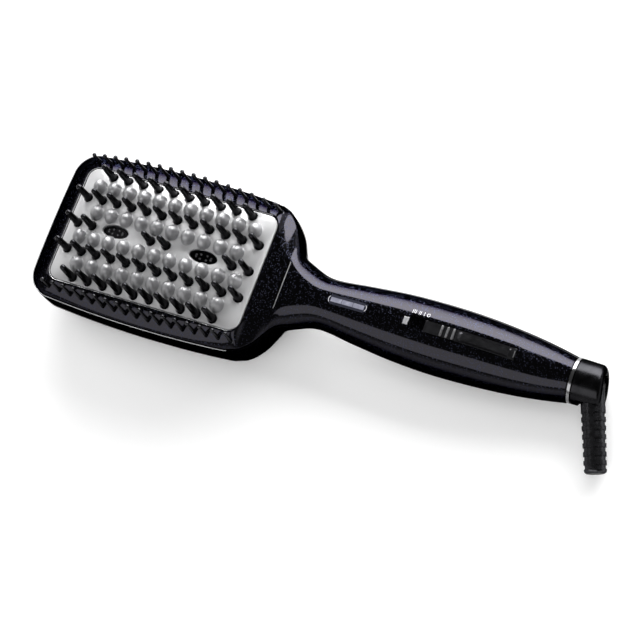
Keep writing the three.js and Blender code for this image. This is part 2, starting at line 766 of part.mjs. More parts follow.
const FULL_ROW = evenRow(INNER_ROW_PINS);
const MIDDLE_ROW = [
  ...FULL_ROW.slice(0, MIDDLE_END_PINS),
  ION_SHIFT - PIN_PITCH / 2,
  ION_SHIFT + PIN_PITCH / 2,
  ...FULL_ROW.slice(-MIDDLE_END_PINS),
];
const PIN_ROWS = [
  { y: OUTER_ROW_Y, places: evenRow(OUTER_ROW_PINS) },
  { y: INNER_ROW_Y, places: FULL_ROW },
  { y: 0, places: MIDDLE_ROW },
  { y: -INNER_ROW_Y, places: FULL_ROW },
  { y: -OUTER_ROW_Y, places: evenRow(OUTER_ROW_PINS) },
];
const DOME_ROWS = [
  { y: OUTER_DOME_Y, places: evenRow(LONG_DOME_ROW) },
  { y: INNER_DOME_Y, places: evenRow(SHORT_DOME_ROW) },
  { y: -INNER_DOME_Y, places: evenRow(LONG_DOME_ROW) },
  { y: -OUTER_DOME_Y, places: evenRow(SHORT_DOME_ROW) },
];
const ION_SPREAD = FULL_ROW.at(-MIDDLE_END_PINS) - ION_TO_END_PIN;
const ION_PLACES = [ION_SHIFT - ION_SPREAD, ION_SHIFT + ION_SPREAD];
const PIN_SIDES = 8;

// A bar under the plate with its row of tapered pins
function pinRow({ y, places }) {
  const tip = PLATE_TOP + PIN_HEIGHT;
  const pin = turnedUp([
    [0, COMB_UNDER + COMB_THICK / 2],
    [PIN_ROOT_RADIUS, COMB_UNDER + COMB_THICK / 2],
    [PIN_TIP_RADIUS, tip - PIN_TIP_ROUND],
    [PIN_TIP_RADIUS * 0.6, tip - PIN_TIP_ROUND * 0.1],
    [0, tip],
  ], PIN_SIDES);
  const first = Math.min(...places) - COMB_END;
  const last = Math.max(...places) + COMB_END;
  const half = COMB_WIDTH / 2;
  const bar = box(first, last, y - half, y + half, COMB_UNDER, COMB_TOP);
  return joined([bar, ...places.map((x) => pin.translate(x, y, 0))]);
}

function ionOval(gap) {
  const shape = new THREE.Shape();
  shape.absellipse(0, 0, ION_LENGTH / 2 - gap, ION_WIDTH / 2 - gap, 0, 2 * Math.PI);
  return shape;
}

const BOSS_PLACES = [-1, 1].flatMap((end) => [-1, 1].map((side) => (
  [end * PLATE_BOSS_X, side * OUTER_DOME_Y]
)));

// The heated plate, with a hole for each pin, its domes and its screw bosses
function heatedPlate() {
  const outline = roundedOutline(PLATE_LENGTH / 2, PLATE_WIDTH / 2, PLATE_CORNER);
  const base = slab(outline, PLATE_UNDER, PLATE_TOP, 4);
  const holeRadius = (PIN_ROOT_RADIUS + PIN_GAP) / Math.cos(Math.PI / PIN_SIDES);
  const hole = upright(holeRadius, PLATE_UNDER - CUT_MARGIN, PLATE_TOP + CUT_MARGIN, 0, 0, PIN_SIDES)
    .rotate([0, 0, 180 / PIN_SIDES]);
  const holes = PIN_ROWS.flatMap(({ y, places }) => places.map((x) => hole.translate(x, y, 0)));
  const [under, over] = [PLATE_UNDER - CUT_MARGIN, PLATE_TOP + CUT_MARGIN];
  const ovals = ION_PLACES.map((x) => slab(ionOval(0), under, over, 6, x));
  const foot = PLATE_TOP - PLATE_THICK / 2;
  const rise = PLATE_TOP + DOME_HEIGHT - foot;
  const dome = turnedUp([
    [0, foot],
    [DOME_RADIUS, foot],
    [DOME_RADIUS * 0.9, foot + rise * 0.46],
    [DOME_RADIUS * 0.5, foot + rise * 0.87],
    [0, foot + rise],
  ], 8);
  const domes = DOME_ROWS.flatMap(({ y, places }) => places.map((x) => dome.translate(x, y, 0)));
  const bosses = BOSS_PLACES.map(([x, y]) => (
    upright(PLATE_BOSS_RADIUS, TRAY_TOP + SEAT_GAP, foot, x, y, 10)
  ));
  const screwHoles = BOSS_PLACES.map(([x, y]) => (
    upright(PLATE_BOSS_HOLE, 0, PLATE_UNDER, x, y, 8)
  ));
  return base.subtract(joined([...holes, ...ovals]))
    .add(joined([...domes, ...bosses]))
    .subtract(joined(screwHoles));
}

// An ion outlet: an oval dish with a rim and a ring of studs
function ionOutlet(x) {
  const top = PLATE_TOP - ION_SUNK;
  const floor = PLATE_UNDER + ION_FLOOR;
  const dish = slab(ionOval(SEAT_GAP), PLATE_UNDER, top, 6, x);
  const pocket = slab(ionOval(SEAT_GAP + ION_RIM), floor, top + 1, 6, x);
  const studs = [];
  for (let i = 0; i < ION_STUDS; i += 1) {
    const angle = (i + 0.5) / ION_STUDS * 2 * Math.PI;
    const alongX = (ION_LENGTH / 2 - ION_STUD_END_INSET) * Math.cos(angle);
    const alongY = (ION_WIDTH / 2 - ION_STUD_SIDE_INSET) * Math.sin(angle);
    const stud = upright(ION_STUD_RADIUS, floor - 0.2, floor + ION_STUD_HEIGHT, 0, 0, 6);
    studs.push(stud.translate(x + alongX, alongY, 0));
  }
  return joined([dish.subtract(pocket), ...studs]);
}

// The insulating tray under the heaters, with a rib below each row of pins
function insulatingTray() {
  const outline = roundedOutline(TRAY_LENGTH / 2, TRAY_WIDTH / 2, TRAY_CORNER);
  const base = slab(outline, TRAY_UNDER, TRAY_TOP, 3);
  const ribTop = COMB_UNDER - SEAT_GAP;
  const half = TRAY_RIB_WIDTH / 2;
  const run = TRAY_LENGTH / 2 - TRAY_CORNER;
  const ribs = PIN_ROWS.map(({ y }) => {
    const inner = TRAY_WIDTH / 2 - half;
    const middle = Math.min(Math.max(y, -inner), inner);
    return box(-run, run, middle - half, middle + half, TRAY_UNDER + 1, ribTop);
  });
  const holes = BOSS_PLACES.map(([x, y]) => (
    upright(SCREW_RADIUS + SEAT_GAP, 0, PLATE_UNDER, x, y, 8)
  ));
  return joined([base, ...ribs]).subtract(joined(holes));
}

function trayScrew([x, y]) {
  const seat = TRAY_UNDER - SEAT_GAP;
  const head = seat - SCREW_HEAD_HEIGHT;
  return turnedUp([
    [0, head],
    [SCREW_HEAD_RADIUS, head],
    [SCREW_HEAD_RADIUS, seat],
    [SCREW_RADIUS, seat],
    [SCREW_RADIUS, seat + SCREW_LENGTH],
    [0, seat + SCREW_LENGTH],
  ], 8).translate(x, y, 0);
}

function heater(side) {
  const y = side * INNER_DOME_Y;
  const half = HEATER_WIDTH / 2;
  const long = HEATER_LENGTH / 2;
  return box(-long, long, y - half, y + half, TRAY_TOP + SEAT_GAP, COMB_TOP);
}

function thermalFuse() {
  const z = COMB_TOP - FUSE_RADIUS;
  const half = FUSE_LENGTH / 2;
  const body = lengthwise(FUSE_RADIUS, -half, half, OUTER_DOME_Y, z, 10);
  const wide = FUSE_SADDLE_WIDTH / 2;
  const [y0, y1] = [OUTER_DOME_Y - wide, OUTER_DOME_Y + wide];
  return body.add(box(-half / 2, half / 2, y0, y1, TRAY_TOP + SEAT_GAP, z));
}

function temperatureSensor() {
  const half = SENSOR_LENGTH / 2;
  const wide = SENSOR_WIDTH / 2;
  return box(-half, half, -OUTER_DOME_Y - wide, -OUTER_DOME_Y + wide, TRAY_TOP + SEAT_GAP, COMB_TOP);
}

const BOARD_X = SEAM_X + BOARD_START;
const BOARD_END_X = BOARD_X + BOARD_LENGTH;
const BOARD_TOP = BOARD_HEIGHT + BOARD_THICK;

// Room for the outlet's stem in the handle's end
function stemCut() {
  const [start, end] = [END_X - 2 * END_WALL, END_X + CUT_MARGIN];
  return lengthwise(STEM_RADIUS + TURN_GAP, start, end, 0, AXIS_Z, 20);
}

// The back housing: a deep tub for the head that runs on into the handle
function backHousing() {
  const above = abovePartingLine(2 * FAR_X, END_X + CUT_MARGIN, -PART_GAP / 2);
  const trayPosts = [-1, 1].flatMap((end) => [-1, 1].map((side) => upright(
    TRAY_POST_RADIUS,
    WALL / 2,
    TRAY_UNDER - SEAT_GAP,
    end * TRAY_POST_X,
    side * TRAY_POST_Y,
    8,
  )));
  const boardPosts = [BOARD_X + BOARD_POST_INSET, BOARD_END_X - BOARD_POST_INSET].map((x) => (
    upright(BOARD_POST_RADIUS, 0, BOARD_HEIGHT - SEAT_GAP, x, 0, 8).intersect(outerBody)
  ));
  const shelfTop = EDGE_BAR_UNDER - SEAT_GAP;
  const run = EDGE_HALF_RUN;
  const shelfInner = edgeBarOuter(run) - EDGE_BAR_WIDTH;
  const shelves = [-1, 1].map((side) => {
    const ys = [side * shelfInner, side * HEAD_HALF];
    return box(-run, run, Math.min(...ys), Math.max(...ys), shelfTop - WALL, shelfTop)
      .intersect(outerBody);
  });
  const stemHole = stemCut();
  const blockTop = AXIS_Z - SLIP_SEAT_RADIUS - SLIP_RING_WALL - 2 * SEAT_GAP - CONTACT_BLOCK_THICK;
  const saddleX = END_X - END_WALL - FLANGE_THICK - 2 * SEAT_GAP;
  const saddleHalf = CONTACT_BLOCK_WIDTH / 2;
  const saddleTop = blockTop - SEAT_GAP;
  const saddle = box(saddleX - SLIP_SEAT_LENGTH, saddleX, -saddleHalf, saddleHalf, 0, saddleTop)
    .intersect(outerBody);
  return joined([
    shell.subtract(above),
    ...trayPosts,
    ...boardPosts,
    ...shelves,
    saddle,
  ]).subtract(stemHole);
}

const SLOT_X = SEAM_X + SLOT_START;
const SLOT_END_X = SLOT_X + SLOT_LENGTH;
const TRACK_SLOPE = (handleTop(SLOT_END_X) - handleTop(SLOT_X)) / SLOT_LENGTH;

// The slide's floor is a straight line between the slot's two ends
function trackFloor(x) {
  return handleTop(SLOT_X) - SLOT_DEPTH + (x - SLOT_X) * TRACK_SLOPE;
}

const SLIDER_END_X = SLOT_END_X - SLIDE_GAP;
const SLIDER_X = SLIDER_END_X - SLIDER_LENGTH;
const LEVER_X = SLIDER_X + LEVER_INSET;
const LIGHT_X = SEAM_X + LIGHT_START + LIGHT_LENGTH / 2;
const SKY = PLATE_TOP + SKY_HEIGHT;

function trackBand(x0, x1, low, high, halfWidth) {
  return sideSlab([
    [x0, trackFloor(x0) + low],
    [x1, trackFloor(x1) + low],
    [x1, trackFloor(x1) + high],
    [x0, trackFloor(x0) + high],
  ], halfWidth);
}

function pill(halfLength, halfWidth) {
  return roundedOutline(halfLength, halfWidth, halfWidth * 0.98);
}

// The handle's front shell, with the switch's track and the window for the lights
function handleShell() {
  const above = abovePartingLine(SEAM_X + SEAM_GAP / 2, END_X + CUT_MARGIN, PART_GAP / 2);
  const trackHalf = SLOT_WIDTH / 2 + TRACK_WALL;
  const track = trackBand(SLOT_X - TRACK_WALL, SLOT_END_X + TRACK_WALL, -TRACK_WALL, SLOT_DEPTH, trackHalf)
    .intersect(outerBody);
  const slot = trackBand(SLOT_X, SLOT_END_X, 0, SLOT_DEPTH + TRACK_WALL + SKY_HEIGHT, SLOT_WIDTH / 2);
  const leverSlot = trackBand(
    LEVER_X - SLIDER_TRAVEL - SLIDE_GAP,
    LEVER_X + LEVER_LENGTH + SLIDE_GAP,
    -2 * TRACK_WALL,
    SLOT_DEPTH,
    LEVER_WIDTH / 2 + SLIDE_GAP,
  );
  const window = slab(pill(LIGHT_LENGTH / 2, LIGHT_WIDTH / 2), BOARD_TOP, SKY, 4, LIGHT_X);
  const markerFloor = handleTop(SLOT_X) - MARKER_THICK - 2 * SEAT_GAP;
  const markerEnd = SLOT_X - MARKER_BRIDGE;
  const pocket = box(
    markerEnd - MARKER_LENGTH - 2 * SEAT_GAP,
    markerEnd,
    -MARKER_WIDTH / 2 - SEAT_GAP,
    MARKER_WIDTH / 2 + SEAT_GAP,
    markerFloor,
    SKY,
  );
  const stemHole = stemCut();
  return shell.intersect(above)
    .add(track)
    .subtract(joined([slot, leverSlot, window, pocket, stemHole]));
}

// The marker plate in front of the slot, flush with the handle
function switchMarker() {
  const end = SLOT_X - MARKER_BRIDGE - SEAT_GAP;
  const half = MARKER_WIDTH / 2;
  const under = handleTop(SLOT_X) - MARKER_THICK - SEAT_GAP;
  return box(end - MARKER_LENGTH, end, -half, half, under, SKY).intersect(outerBody);
}

// The slider: a ribbed thumb piece with a raised tail and a lever below
function slider() {
  const half = SLOT_WIDTH / 2 - SLIDE_GAP;
  const steps = 8;
  const outline = [];
  for (let i = 0; i <= steps; i += 1) {
    const x = mix(SLIDER_X, SLIDER_END_X, i / steps);
    outline.push([x, handleTop(x) - SLIDER_SUNK]);
  }
  outline.push([SLIDER_END_X, trackFloor(SLIDER_END_X) + SLIDE_GAP]);
  outline.push([SLIDER_X, trackFloor(SLIDER_X) + SLIDE_GAP]);
  const ribs = [];
  for (let i = 0; i < RIB_COUNT; i += 1) {
    const x = SLIDER_X + RIB_INSET + i * RIB_PITCH;
    const z = handleTop(x);
    ribs.push(box(x - RIB_WIDTH / 2, x + RIB_WIDTH / 2, -half, half, z - 1, z + RIB_HEIGHT));
  }
  const panelStart = SLIDER_X + PANEL_INSET;
  const panelEnd = panelStart + PANEL_LENGTH;
  const panelMiddle = panelStart + PANEL_LENGTH / 2;
  const panel = sideSlab([
    [panelStart, handleTop(panelStart) - 1],
    [panelEnd, handleTop(panelEnd) - 1],
    [panelEnd - PANEL_END_SLOPE, handleTop(panelEnd) + PANEL_HEIGHT],
    [panelMiddle, handleTop(panelMiddle) + PANEL_HEIGHT],
    [panelStart + PANEL_START_SLOPE, handleTop(panelStart) + PANEL_HEIGHT],
  ].reverse(), half - 1);
  const leverFoot = BOARD_TOP + SEAT_GAP + SWITCH_BODY_HEIGHT - LEVER_DIP;
  const lever = box(
    LEVER_X,
    LEVER_X + LEVER_LENGTH,
    -LEVER_WIDTH / 2,
    LEVER_WIDTH / 2,
    leverFoot,
    trackFloor(LEVER_X + LEVER_LENGTH) + SLIDE_GAP + 0.5,
  );
  return joined([sideSlab(outline, half), ...ribs, panel, lever]);
}

// The switch on the board, with a groove for the slider's lever
function switchBody() {
  const low = BOARD_TOP + SEAT_GAP;
  const high = low + SWITCH_BODY_HEIGHT;
  const middle = LEVER_X + LEVER_LENGTH / 2 - SLIDER_TRAVEL / 2;
  const half = SWITCH_BODY_LENGTH / 2;
  const wide = SWITCH_BODY_WIDTH / 2;
  const groove = box(
    LEVER_X - SLIDER_TRAVEL - 2 * SLIDE_GAP,
    LEVER_X + LEVER_LENGTH + 2 * SLIDE_GAP,
    -LEVER_WIDTH / 2 - SLIDE_GAP,
    LEVER_WIDTH / 2 + SLIDE_GAP,
    high - LEVER_DIP - 2 * SLIDE_GAP,
    high + 1,
  );
  return box(middle - half, middle + half, -wide, wide, low, high).subtract(groove);
}

function lightPlaces() {
  const places = [];
  for (let i = 0; i < LIGHT_COUNT; i += 1) {
    places.push(LIGHT_X + (i - (LIGHT_COUNT - 1) / 2) * LIGHT_PITCH);
  }
  return places;
}

// The clear window with a light pipe down to each lamp
function lightGuide() {
  const top = handleTop(LIGHT_X);
  const shape = pill(LIGHT_LENGTH / 2 - SEAT_GAP, LIGHT_WIDTH / 2 - SEAT_GAP);
  const lens = slab(shape, top - LIGHT_GUIDE_DEPTH, SKY, 4, LIGHT_X).intersect(outerBody);
  const foot = BOARD_TOP + LIGHT_CHIP_HEIGHT + SEAT_GAP;
  const pipes = lightPlaces().map((x) => (
    upright(LIGHT_PIPE_RADIUS, foot, top - LIGHT_GUIDE_DEPTH + 1, x, 0, 8)
  ));
  return joined([lens, ...pipes]);
}

function circuitBoard() {
  const half = BOARD_WIDTH / 2;
  const board = box(BOARD_X, BOARD_END_X, -half, half, BOARD_HEIGHT, BOARD_TOP);
  const chipHalf = LIGHT_CHIP / 2;
  const chips = lightPlaces().map((x) => box(
    x - chipHalf,
    x + chipHalf,
    -chipHalf,
    chipHalf,
    BOARD_TOP - 0.5,
    BOARD_TOP + LIGHT_CHIP_HEIGHT,
  ));
  return joined([board, ...chips]);
}

function ionGenerator() {
  const x = BOARD_X + ION_BOX_START;
  const half = ION_BOX_WIDTH / 2;
  const top = BOARD_HEIGHT - SEAT_GAP;
  return box(x, x + ION_BOX_LENGTH, -half, half, top - ION_BOX_HEIGHT, top);
}

const RING_X = END_X + SEAT_GAP;
const CAP_X = RING_X + RING_WIDTH + SEAT_GAP;
const CAP_END_X = CAP_X + CAP_LENGTH;
const PIVOT_X = CAP_X + PIVOT_INSET;
const FLANGE_X = END_X - END_WALL - SEAT_GAP - FLANGE_THICK;
const SLIP_X = FLANGE_X - SLIP_SEAT_LENGTH;

function trimRing() {
  const inner = STEM_RADIUS + TURN_GAP;
  return turned([
    [inner, RING_X],
    [RING_RADIUS - RING_EDGE, RING_X],
    [RING_RADIUS, RING_X + RING_EDGE],
    [RING_RADIUS, RING_X + RING_WIDTH - RING_EDGE],
    [RING_RADIUS - RING_EDGE, RING_X + RING_WIDTH],
    [inner, RING_X + RING_WIDTH],
    [inner, RING_X],
  ], 24);
}

// The cap and its hollow stem turn in the handle's end; the flange keeps them in
function swivelCap() {
  const mouth = CAP_RADIUS - CAP_DRAFT - CAP_ROUND;
  const round = [];
  for (let k = 0; k <= 3; k += 1) {
    const angle = (k / 3) * Math.PI / 2;
    round.push([
      mouth + CAP_ROUND * Math.cos(angle),
      CAP_END_X - CAP_ROUND + CAP_ROUND * Math.sin(angle),
    ]);
  }
  const body = turned([
    [0, PIVOT_X],
    [STEM_BORE, PIVOT_X],
    [STEM_BORE, SLIP_X],
    [SLIP_SEAT_RADIUS, SLIP_X],
    [SLIP_SEAT_RADIUS, FLANGE_X],
    [FLANGE_RADIUS, FLANGE_X],
    [FLANGE_RADIUS, FLANGE_X + FLANGE_THICK],
    [STEM_RADIUS, FLANGE_X + FLANGE_THICK],
    [STEM_RADIUS, CAP_X],
    [CAP_RADIUS, CAP_X],
    ...round,
    [0, CAP_END_X],
  ], 24);
  return slanted(body).subtract(sleeveSlot()).subtract(pivotHole(PIVOT_X));
}

// The cap grows shorter from the sleeve's side to the other; its front edge stays
function slanted(body) {
  return body.warp((point) => {
    const along = Math.max(point[0] - CAP_X, 0) / CAP_LENGTH;
    const across = (point[1] + CAP_RADIUS) / (2 * CAP_RADIUS);
    point[0] -= CAP_SLANT * along * across;
  });
}

// The slot that the sleeve swings in, from straight out to its sharpest bend
function sleeveSlot() {
  const reach = SLEEVE_ROOT_RADIUS + TURN_GAP;
  const most = THREE.MathUtils.degToRad(SLEEVE_MOST);
  const out = CAP_LENGTH + CAP_RADIUS;
  const shape = new THREE.Shape();
  const along = [Math.cos(most), -Math.sin(most)];
  const edge = [-reach * Math.sin(most), -reach * Math.cos(most)];
  shape.moveTo(0, reach);
  shape.lineTo(edge[0], edge[1]);
  shape.lineTo(edge[0] + out * along[0], edge[1] + out * along[1]);
  shape.lineTo(out, -out);
  shape.lineTo(out, reach);
  const depth = SLEEVE_CHEEK + 2 * TURN_GAP;
  const geometry = new THREE.ExtrudeGeometry(shape, { depth, bevelEnabled: false });
  geometry.translate(PIVOT_X, 0, -depth / 2);
  const drum = upright(reach, -depth / 2, depth / 2, PIVOT_X, 0, 24);
  return solid(geometry).add(drum);
}

function pivotHole(x) {
  return upright(PIVOT_PIN_RADIUS + PIVOT_PIN_GAP, -CAP_RADIUS, CAP_RADIUS, x, 0, 12);
}

function slipRing(index) {
  const x = SLIP_X + SLIP_RING_INSET + index * (SLIP_RING_WIDTH + SLIP_RING_SPACE);
  const inner = SLIP_SEAT_RADIUS + SEAT_GAP;
  const outer = inner + SLIP_RING_WALL;
  return turned([
    [inner, x],
    [outer, x],
    [outer, x + SLIP_RING_WIDTH],
    [inner, x + SLIP_RING_WIDTH],
    [inner, x],
  ], 16);
}

// The block under the slip rings that carries the spring contacts
function contactBlock() {
  const top = AXIS_Z - SLIP_SEAT_RADIUS - SLIP_RING_WALL - 2 * SEAT_GAP;
  const half = CONTACT_BLOCK_WIDTH / 2;
  return box(SLIP_X, FLANGE_X - SEAT_GAP, -half, half, top - CONTACT_BLOCK_THICK, top);
}

// The bend-protection sleeve, along +X from its pivot
function sleeve() {
  const drum = upright(SLEEVE_ROOT_RADIUS, -SLEEVE_CHEEK / 2, SLEEVE_CHEEK / 2, 0, 0, 20);
  const collarRadius = SLEEVE_CHEEK / 2;
  const round = SLEEVE_TIP_ROUND;
  const length = SLEEVE_LENGTH;
  const body = turned([
    [0, 0],
    [collarRadius, 0],
    [collarRadius, SLEEVE_COLLAR],
    [SLEEVE_TIP_RADIUS, length - round],
    [SLEEVE_TIP_RADIUS - 0.3 * round, length - 0.3 * round],
    [SLEEVE_TIP_RADIUS - round, length],
    [0, length],
  ], SLEEVE_SIDES);
  const bore = lengthwise(SLEEVE_BORE, SLEEVE_COLLAR, length + CUT_MARGIN, 0, 0, 10);
  return drum.add(body).subtract(joined([sleeveGrooves(), bore, pivotHole(0)]));
}

// Rings cut round the sleeve, so that it bends, with a spine left at the front and back
function sleeveGrooves() {
  const outer = SLEEVE_ROOT_RADIUS + CUT_MARGIN;
  const taperLength = SLEEVE_LENGTH - SLEEVE_TIP_ROUND - SLEEVE_COLLAR;
  const rings = [];
  for (let i = 0; i < GROOVE_COUNT; i += 1) {
    const start = SLEEVE_COLLAR + i * GROOVE_PITCH;
    const share = (start + GROOVE_WIDTH / 2 - SLEEVE_COLLAR) / taperLength;
    const inner = mix(SLEEVE_CHEEK / 2, SLEEVE_TIP_RADIUS, share) - GROOVE_DEPTH;
    rings.push(turned([
      [inner, start],
      [outer, start],
      [outer, start + GROOVE_WIDTH],
      [inner, start + GROOVE_WIDTH],
      [inner, start],
    ], SLEEVE_SIDES));
  }
  const half = SPINE_WIDTH / 2;
  const spine = box(0, SLEEVE_LENGTH, -half, half, -outer, outer);
  return joined(rings).subtract(spine);
}

addPiece('head_frame', headFrame().subtract(joined([edgeHoles(-1), edgeHoles(1)])), NAVY_GLOSS());
addPiece('back_housing', backHousing(), NAVY_GLOSS());
addPiece('handle_shell', handleShell(), NAVY_GLOSS());
addPiece('heated_plate', heatedPlate(), PLATE_METAL());
PIN_ROWS.forEach((row, i) => addPiece(`pin_row_${i + 1}`, pinRow(row), BLACK_PLASTIC()));
addPiece('edge_bristles_left', edgeStrip(1), BLACK_PLASTIC());
addPiece('edge_bristles_right', edgeStrip(-1), BLACK_PLASTIC());
addPiece('ion_outlet_far', ionOutlet(ION_PLACES[0]), BLACK_PLASTIC());
addPiece('ion_outlet_near', ionOutlet(ION_PLACES[1]), BLACK_PLASTIC());
addPiece('insulating_tray', insulatingTray(), finish(0x8d8574, 0.7, 0));
BOSS_PLACES.forEach((place, i) => (
  addPiece(`tray_screw_${i + 1}`, trayScrew(place), finish(0xa5a7aa, 0.35, 1))
));
addPiece('heater_left', heater(1), finish(0xb4b6ba, 0.4, 0.8));
addPiece('heater_right', heater(-1), finish(0xb4b6ba, 0.4, 0.8));
addPiece('thermal_fuse', thermalFuse(), finish(0xdedad0, 0.5, 0));
addPiece('temperature_sensor', temperatureSensor(), finish(0x2b2b2d, 0.6, 0));
addPiece('circuit_board', circuitBoard(), finish(0x1e5a34, 0.5, 0));
addPiece('switch_body', switchBody(), finish(0x202124, 0.5, 0));
addPiece('ion_generator', ionGenerator(), finish(0x1b1c20, 0.5, 0));
addPiece('light_guide', lightGuide(), finish(0xb9bcc9, 0.2, 0));
addPiece('switch_marker', switchMarker(), CHROME());
addPiece('slider', slider(), BLACK_PLASTIC());
addPiece('contact_block', contactBlock(), finish(0x2a2a2c, 0.6, 0));

const axis = new THREE.Group();
axis.position.set(0, 0, AXIS_Z);
root.add(axis);
addPiece('trim_ring', trimRing(), CHROME(), axis);

const outlet = new THREE.Group();
outlet.rotation.x = THREE.MathUtils.degToRad(CAP_ROLL);
axis.add(outlet);
addPiece('swivel_cap', swivelCap(), BLACK_RUBBER(), outlet);
addPiece('slip_ring_far', slipRing(0), finish(0xb58b3c, 0.3, 1), outlet);
addPiece('slip_ring_near', slipRing(1), finish(0xb58b3c, 0.3, 1), outlet);
const pinHalf = PIVOT_PIN_LENGTH / 2;
const pivotPin = upright(PIVOT_PIN_RADIUS, -pinHalf, pinHalf, PIVOT_X, 0, 12);
addPiece('pivot_pin', pivotPin, finish(0xa5a7aa, 0.35, 1), outlet);

const swing = new THREE.Group();
swing.position.set(PIVOT_X, 0, 0);
swing.rotation.z = -THREE.MathUtils.degToRad(SLEEVE_REST);
outlet.add(swing);
addPiece('cord_sleeve', sleeve(), BLACK_RUBBER(), swing);

export default root;
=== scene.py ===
# %% [markdown]
# # A heated styling brush
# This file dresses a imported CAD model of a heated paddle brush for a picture.
# The CAD parts are the fixed frame. Each visible part gets a finer skin in the
# same place, and each finish is made from shader nodes.

# %% Load the frame
import math

import bmesh
import bpy
from mathutils import Matrix, Vector


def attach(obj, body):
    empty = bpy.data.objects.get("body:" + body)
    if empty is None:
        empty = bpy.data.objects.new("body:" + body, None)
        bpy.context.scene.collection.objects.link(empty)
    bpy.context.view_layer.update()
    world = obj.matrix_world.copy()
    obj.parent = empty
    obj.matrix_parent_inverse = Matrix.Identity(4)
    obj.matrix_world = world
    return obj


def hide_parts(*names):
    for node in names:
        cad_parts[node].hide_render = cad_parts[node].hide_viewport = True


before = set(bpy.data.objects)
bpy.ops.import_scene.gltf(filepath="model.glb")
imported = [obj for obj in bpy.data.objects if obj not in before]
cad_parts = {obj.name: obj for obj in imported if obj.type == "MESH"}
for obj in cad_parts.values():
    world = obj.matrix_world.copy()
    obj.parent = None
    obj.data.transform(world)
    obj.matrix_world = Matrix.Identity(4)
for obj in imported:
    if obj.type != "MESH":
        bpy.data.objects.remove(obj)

scene = bpy.context.scene
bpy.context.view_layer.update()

# %% [markdown]
# ## Camera
# The photo was taken from high above the handle's end with a long lens, rolled
# so that the brush runs down to the right. A camera could be aimed by eye, but
# its roll would never be quite right. The three directions below were fitted to
# the rows of pins and the plate's corners. They are written down as a matrix,
# which keeps the roll exact.

# %% Camera
MM = 0.001
CAMERA_PLACE = Vector((406.30, -235.82, 926.40)) * MM
CAMERA_RIGHT = Vector((0.9061455, 0.3487901, -0.2392609))
CAMERA_DOWN = Vector((0.2636534, -0.9081112, -0.3253014))
CAMERA_FORWARD = Vector((-0.3307374, 0.2316884, -0.9148406))

camera_data = bpy.data.cameras.new("photo_camera")
camera_data.lens = 118.628
camera_data.sensor_width = 36
camera_data.clip_start = 0.05
camera = bpy.data.objects.new("photo_camera", camera_data)
scene.collection.objects.link(camera)
turn = Matrix((CAMERA_RIGHT, -CAMERA_DOWN, -CAMERA_FORWARD)).transposed().to_4x4()
camera.matrix_world = Matrix.Translation(CAMERA_PLACE) @ turn
scene.camera = camera
print("camera", [round(v, 3) for v in camera.location], "lens", camera_data.lens)

# %% [markdown]
# ## Small helpers
# Every part is drawn in millimetres, as on a maker's drawing, and made metres
# only when it becomes an object. Each part could do that for itself, but one
# helper does it the same way for all. It turns the faces outwards, shades the
# mesh smooth between its sharp edges, gives it its finish and ties it to the CAD
# body that it moves with.

# %% Objects from meshes
def mix(start, end, share):
    return start + (end - start) * share


def mesh_of(bm, name):
    mesh = bpy.data.meshes.new(name)
    bm.to_mesh(mesh)
    bm.free()
    return mesh


def part(bm, name, material, body, replaces=(), sharp=35, normals=True):
    if normals:
        bmesh.ops.recalc_face_normals(bm, faces=bm.faces)
    mesh = mesh_of(bm, name)
    mesh.transform(Matrix.Scale(MM, 4))
    mesh.shade_smooth()
    mesh.set_sharp_from_angle(angle=math.radians(sharp))
    obj = bpy.data.objects.new(name, mesh)
    scene.collection.objects.link(obj)
    mesh.materials.append(material)
    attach(obj, body)
    if replaces:
        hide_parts(*replaces)
    print(name, len(mesh.polygons), "faces")
    return obj


# %% [markdown]
# ## Sheets that follow a formula
# The housing flows in one surface from the head into the handle. It could be
# sculpted, or subdivided from a rough cage, but then it would drift away from
# the CAD model. Here a flat grid is made, and each of its points moves to the
# place that the drawing's sections give. Half of it is enough, because the brush
# is the same on both sides: the mirror does the rest.

# %% Grid and mirror
def formed_grid(bm, rows):
    """A grid whose point in row i and column k moves to rows[i][k]."""
    count, width = len(rows), len(rows[0])
    made = bmesh.ops.create_grid(bm, x_segments=width - 1, y_segments=count - 1, size=1)
    grid = {}
    for vert in made["verts"]:
        k = round((vert.co.x + 1) / 2 * (width - 1))
        i = round((vert.co.y + 1) / 2 * (count - 1))
        vert.co = rows[i][k]
        grid[i, k] = vert
    return grid


def weld(bm, distance=0.004):
    bmesh.ops.remove_doubles(bm, verts=bm.verts, dist=distance)
    bmesh.ops.dissolve_degenerate(bm, edges=bm.edges, dist=0.0005)


def mirror_halves(bm):
    geometry = bm.verts[:] + bm.edges[:] + bm.faces[:]
    bmesh.ops.mirror(bm, geom=geometry, axis="Y", matrix=Matrix(), merge_dist=0.002)
    weld(bm)


# %% [markdown]
# ## The drawing's sections
# These are the sizes of the CAD model. A table gives the handle's half width,
# middle height and half height along its length, and a second one says how far
# the shoulder has gone from the neck to the head. Straight lines between the
# rows would show as facets in the gloss, so a smooth curve joins them. At the
# neck both tables are level, so that the shine doesn't break.

# %% Sizes of the body
SEAM_X = 62.0
HANDLE_LENGTH = 144.4
END_X = SEAM_X + HANDLE_LENGTH
FAR_X = -63.6
PLATE_TOP = 38.0
OPENING = (52.1, 30.35, 5.9)  # half length, half width, corner
HEAD_HALF = 41.0
SIDE_BOW = 2.3
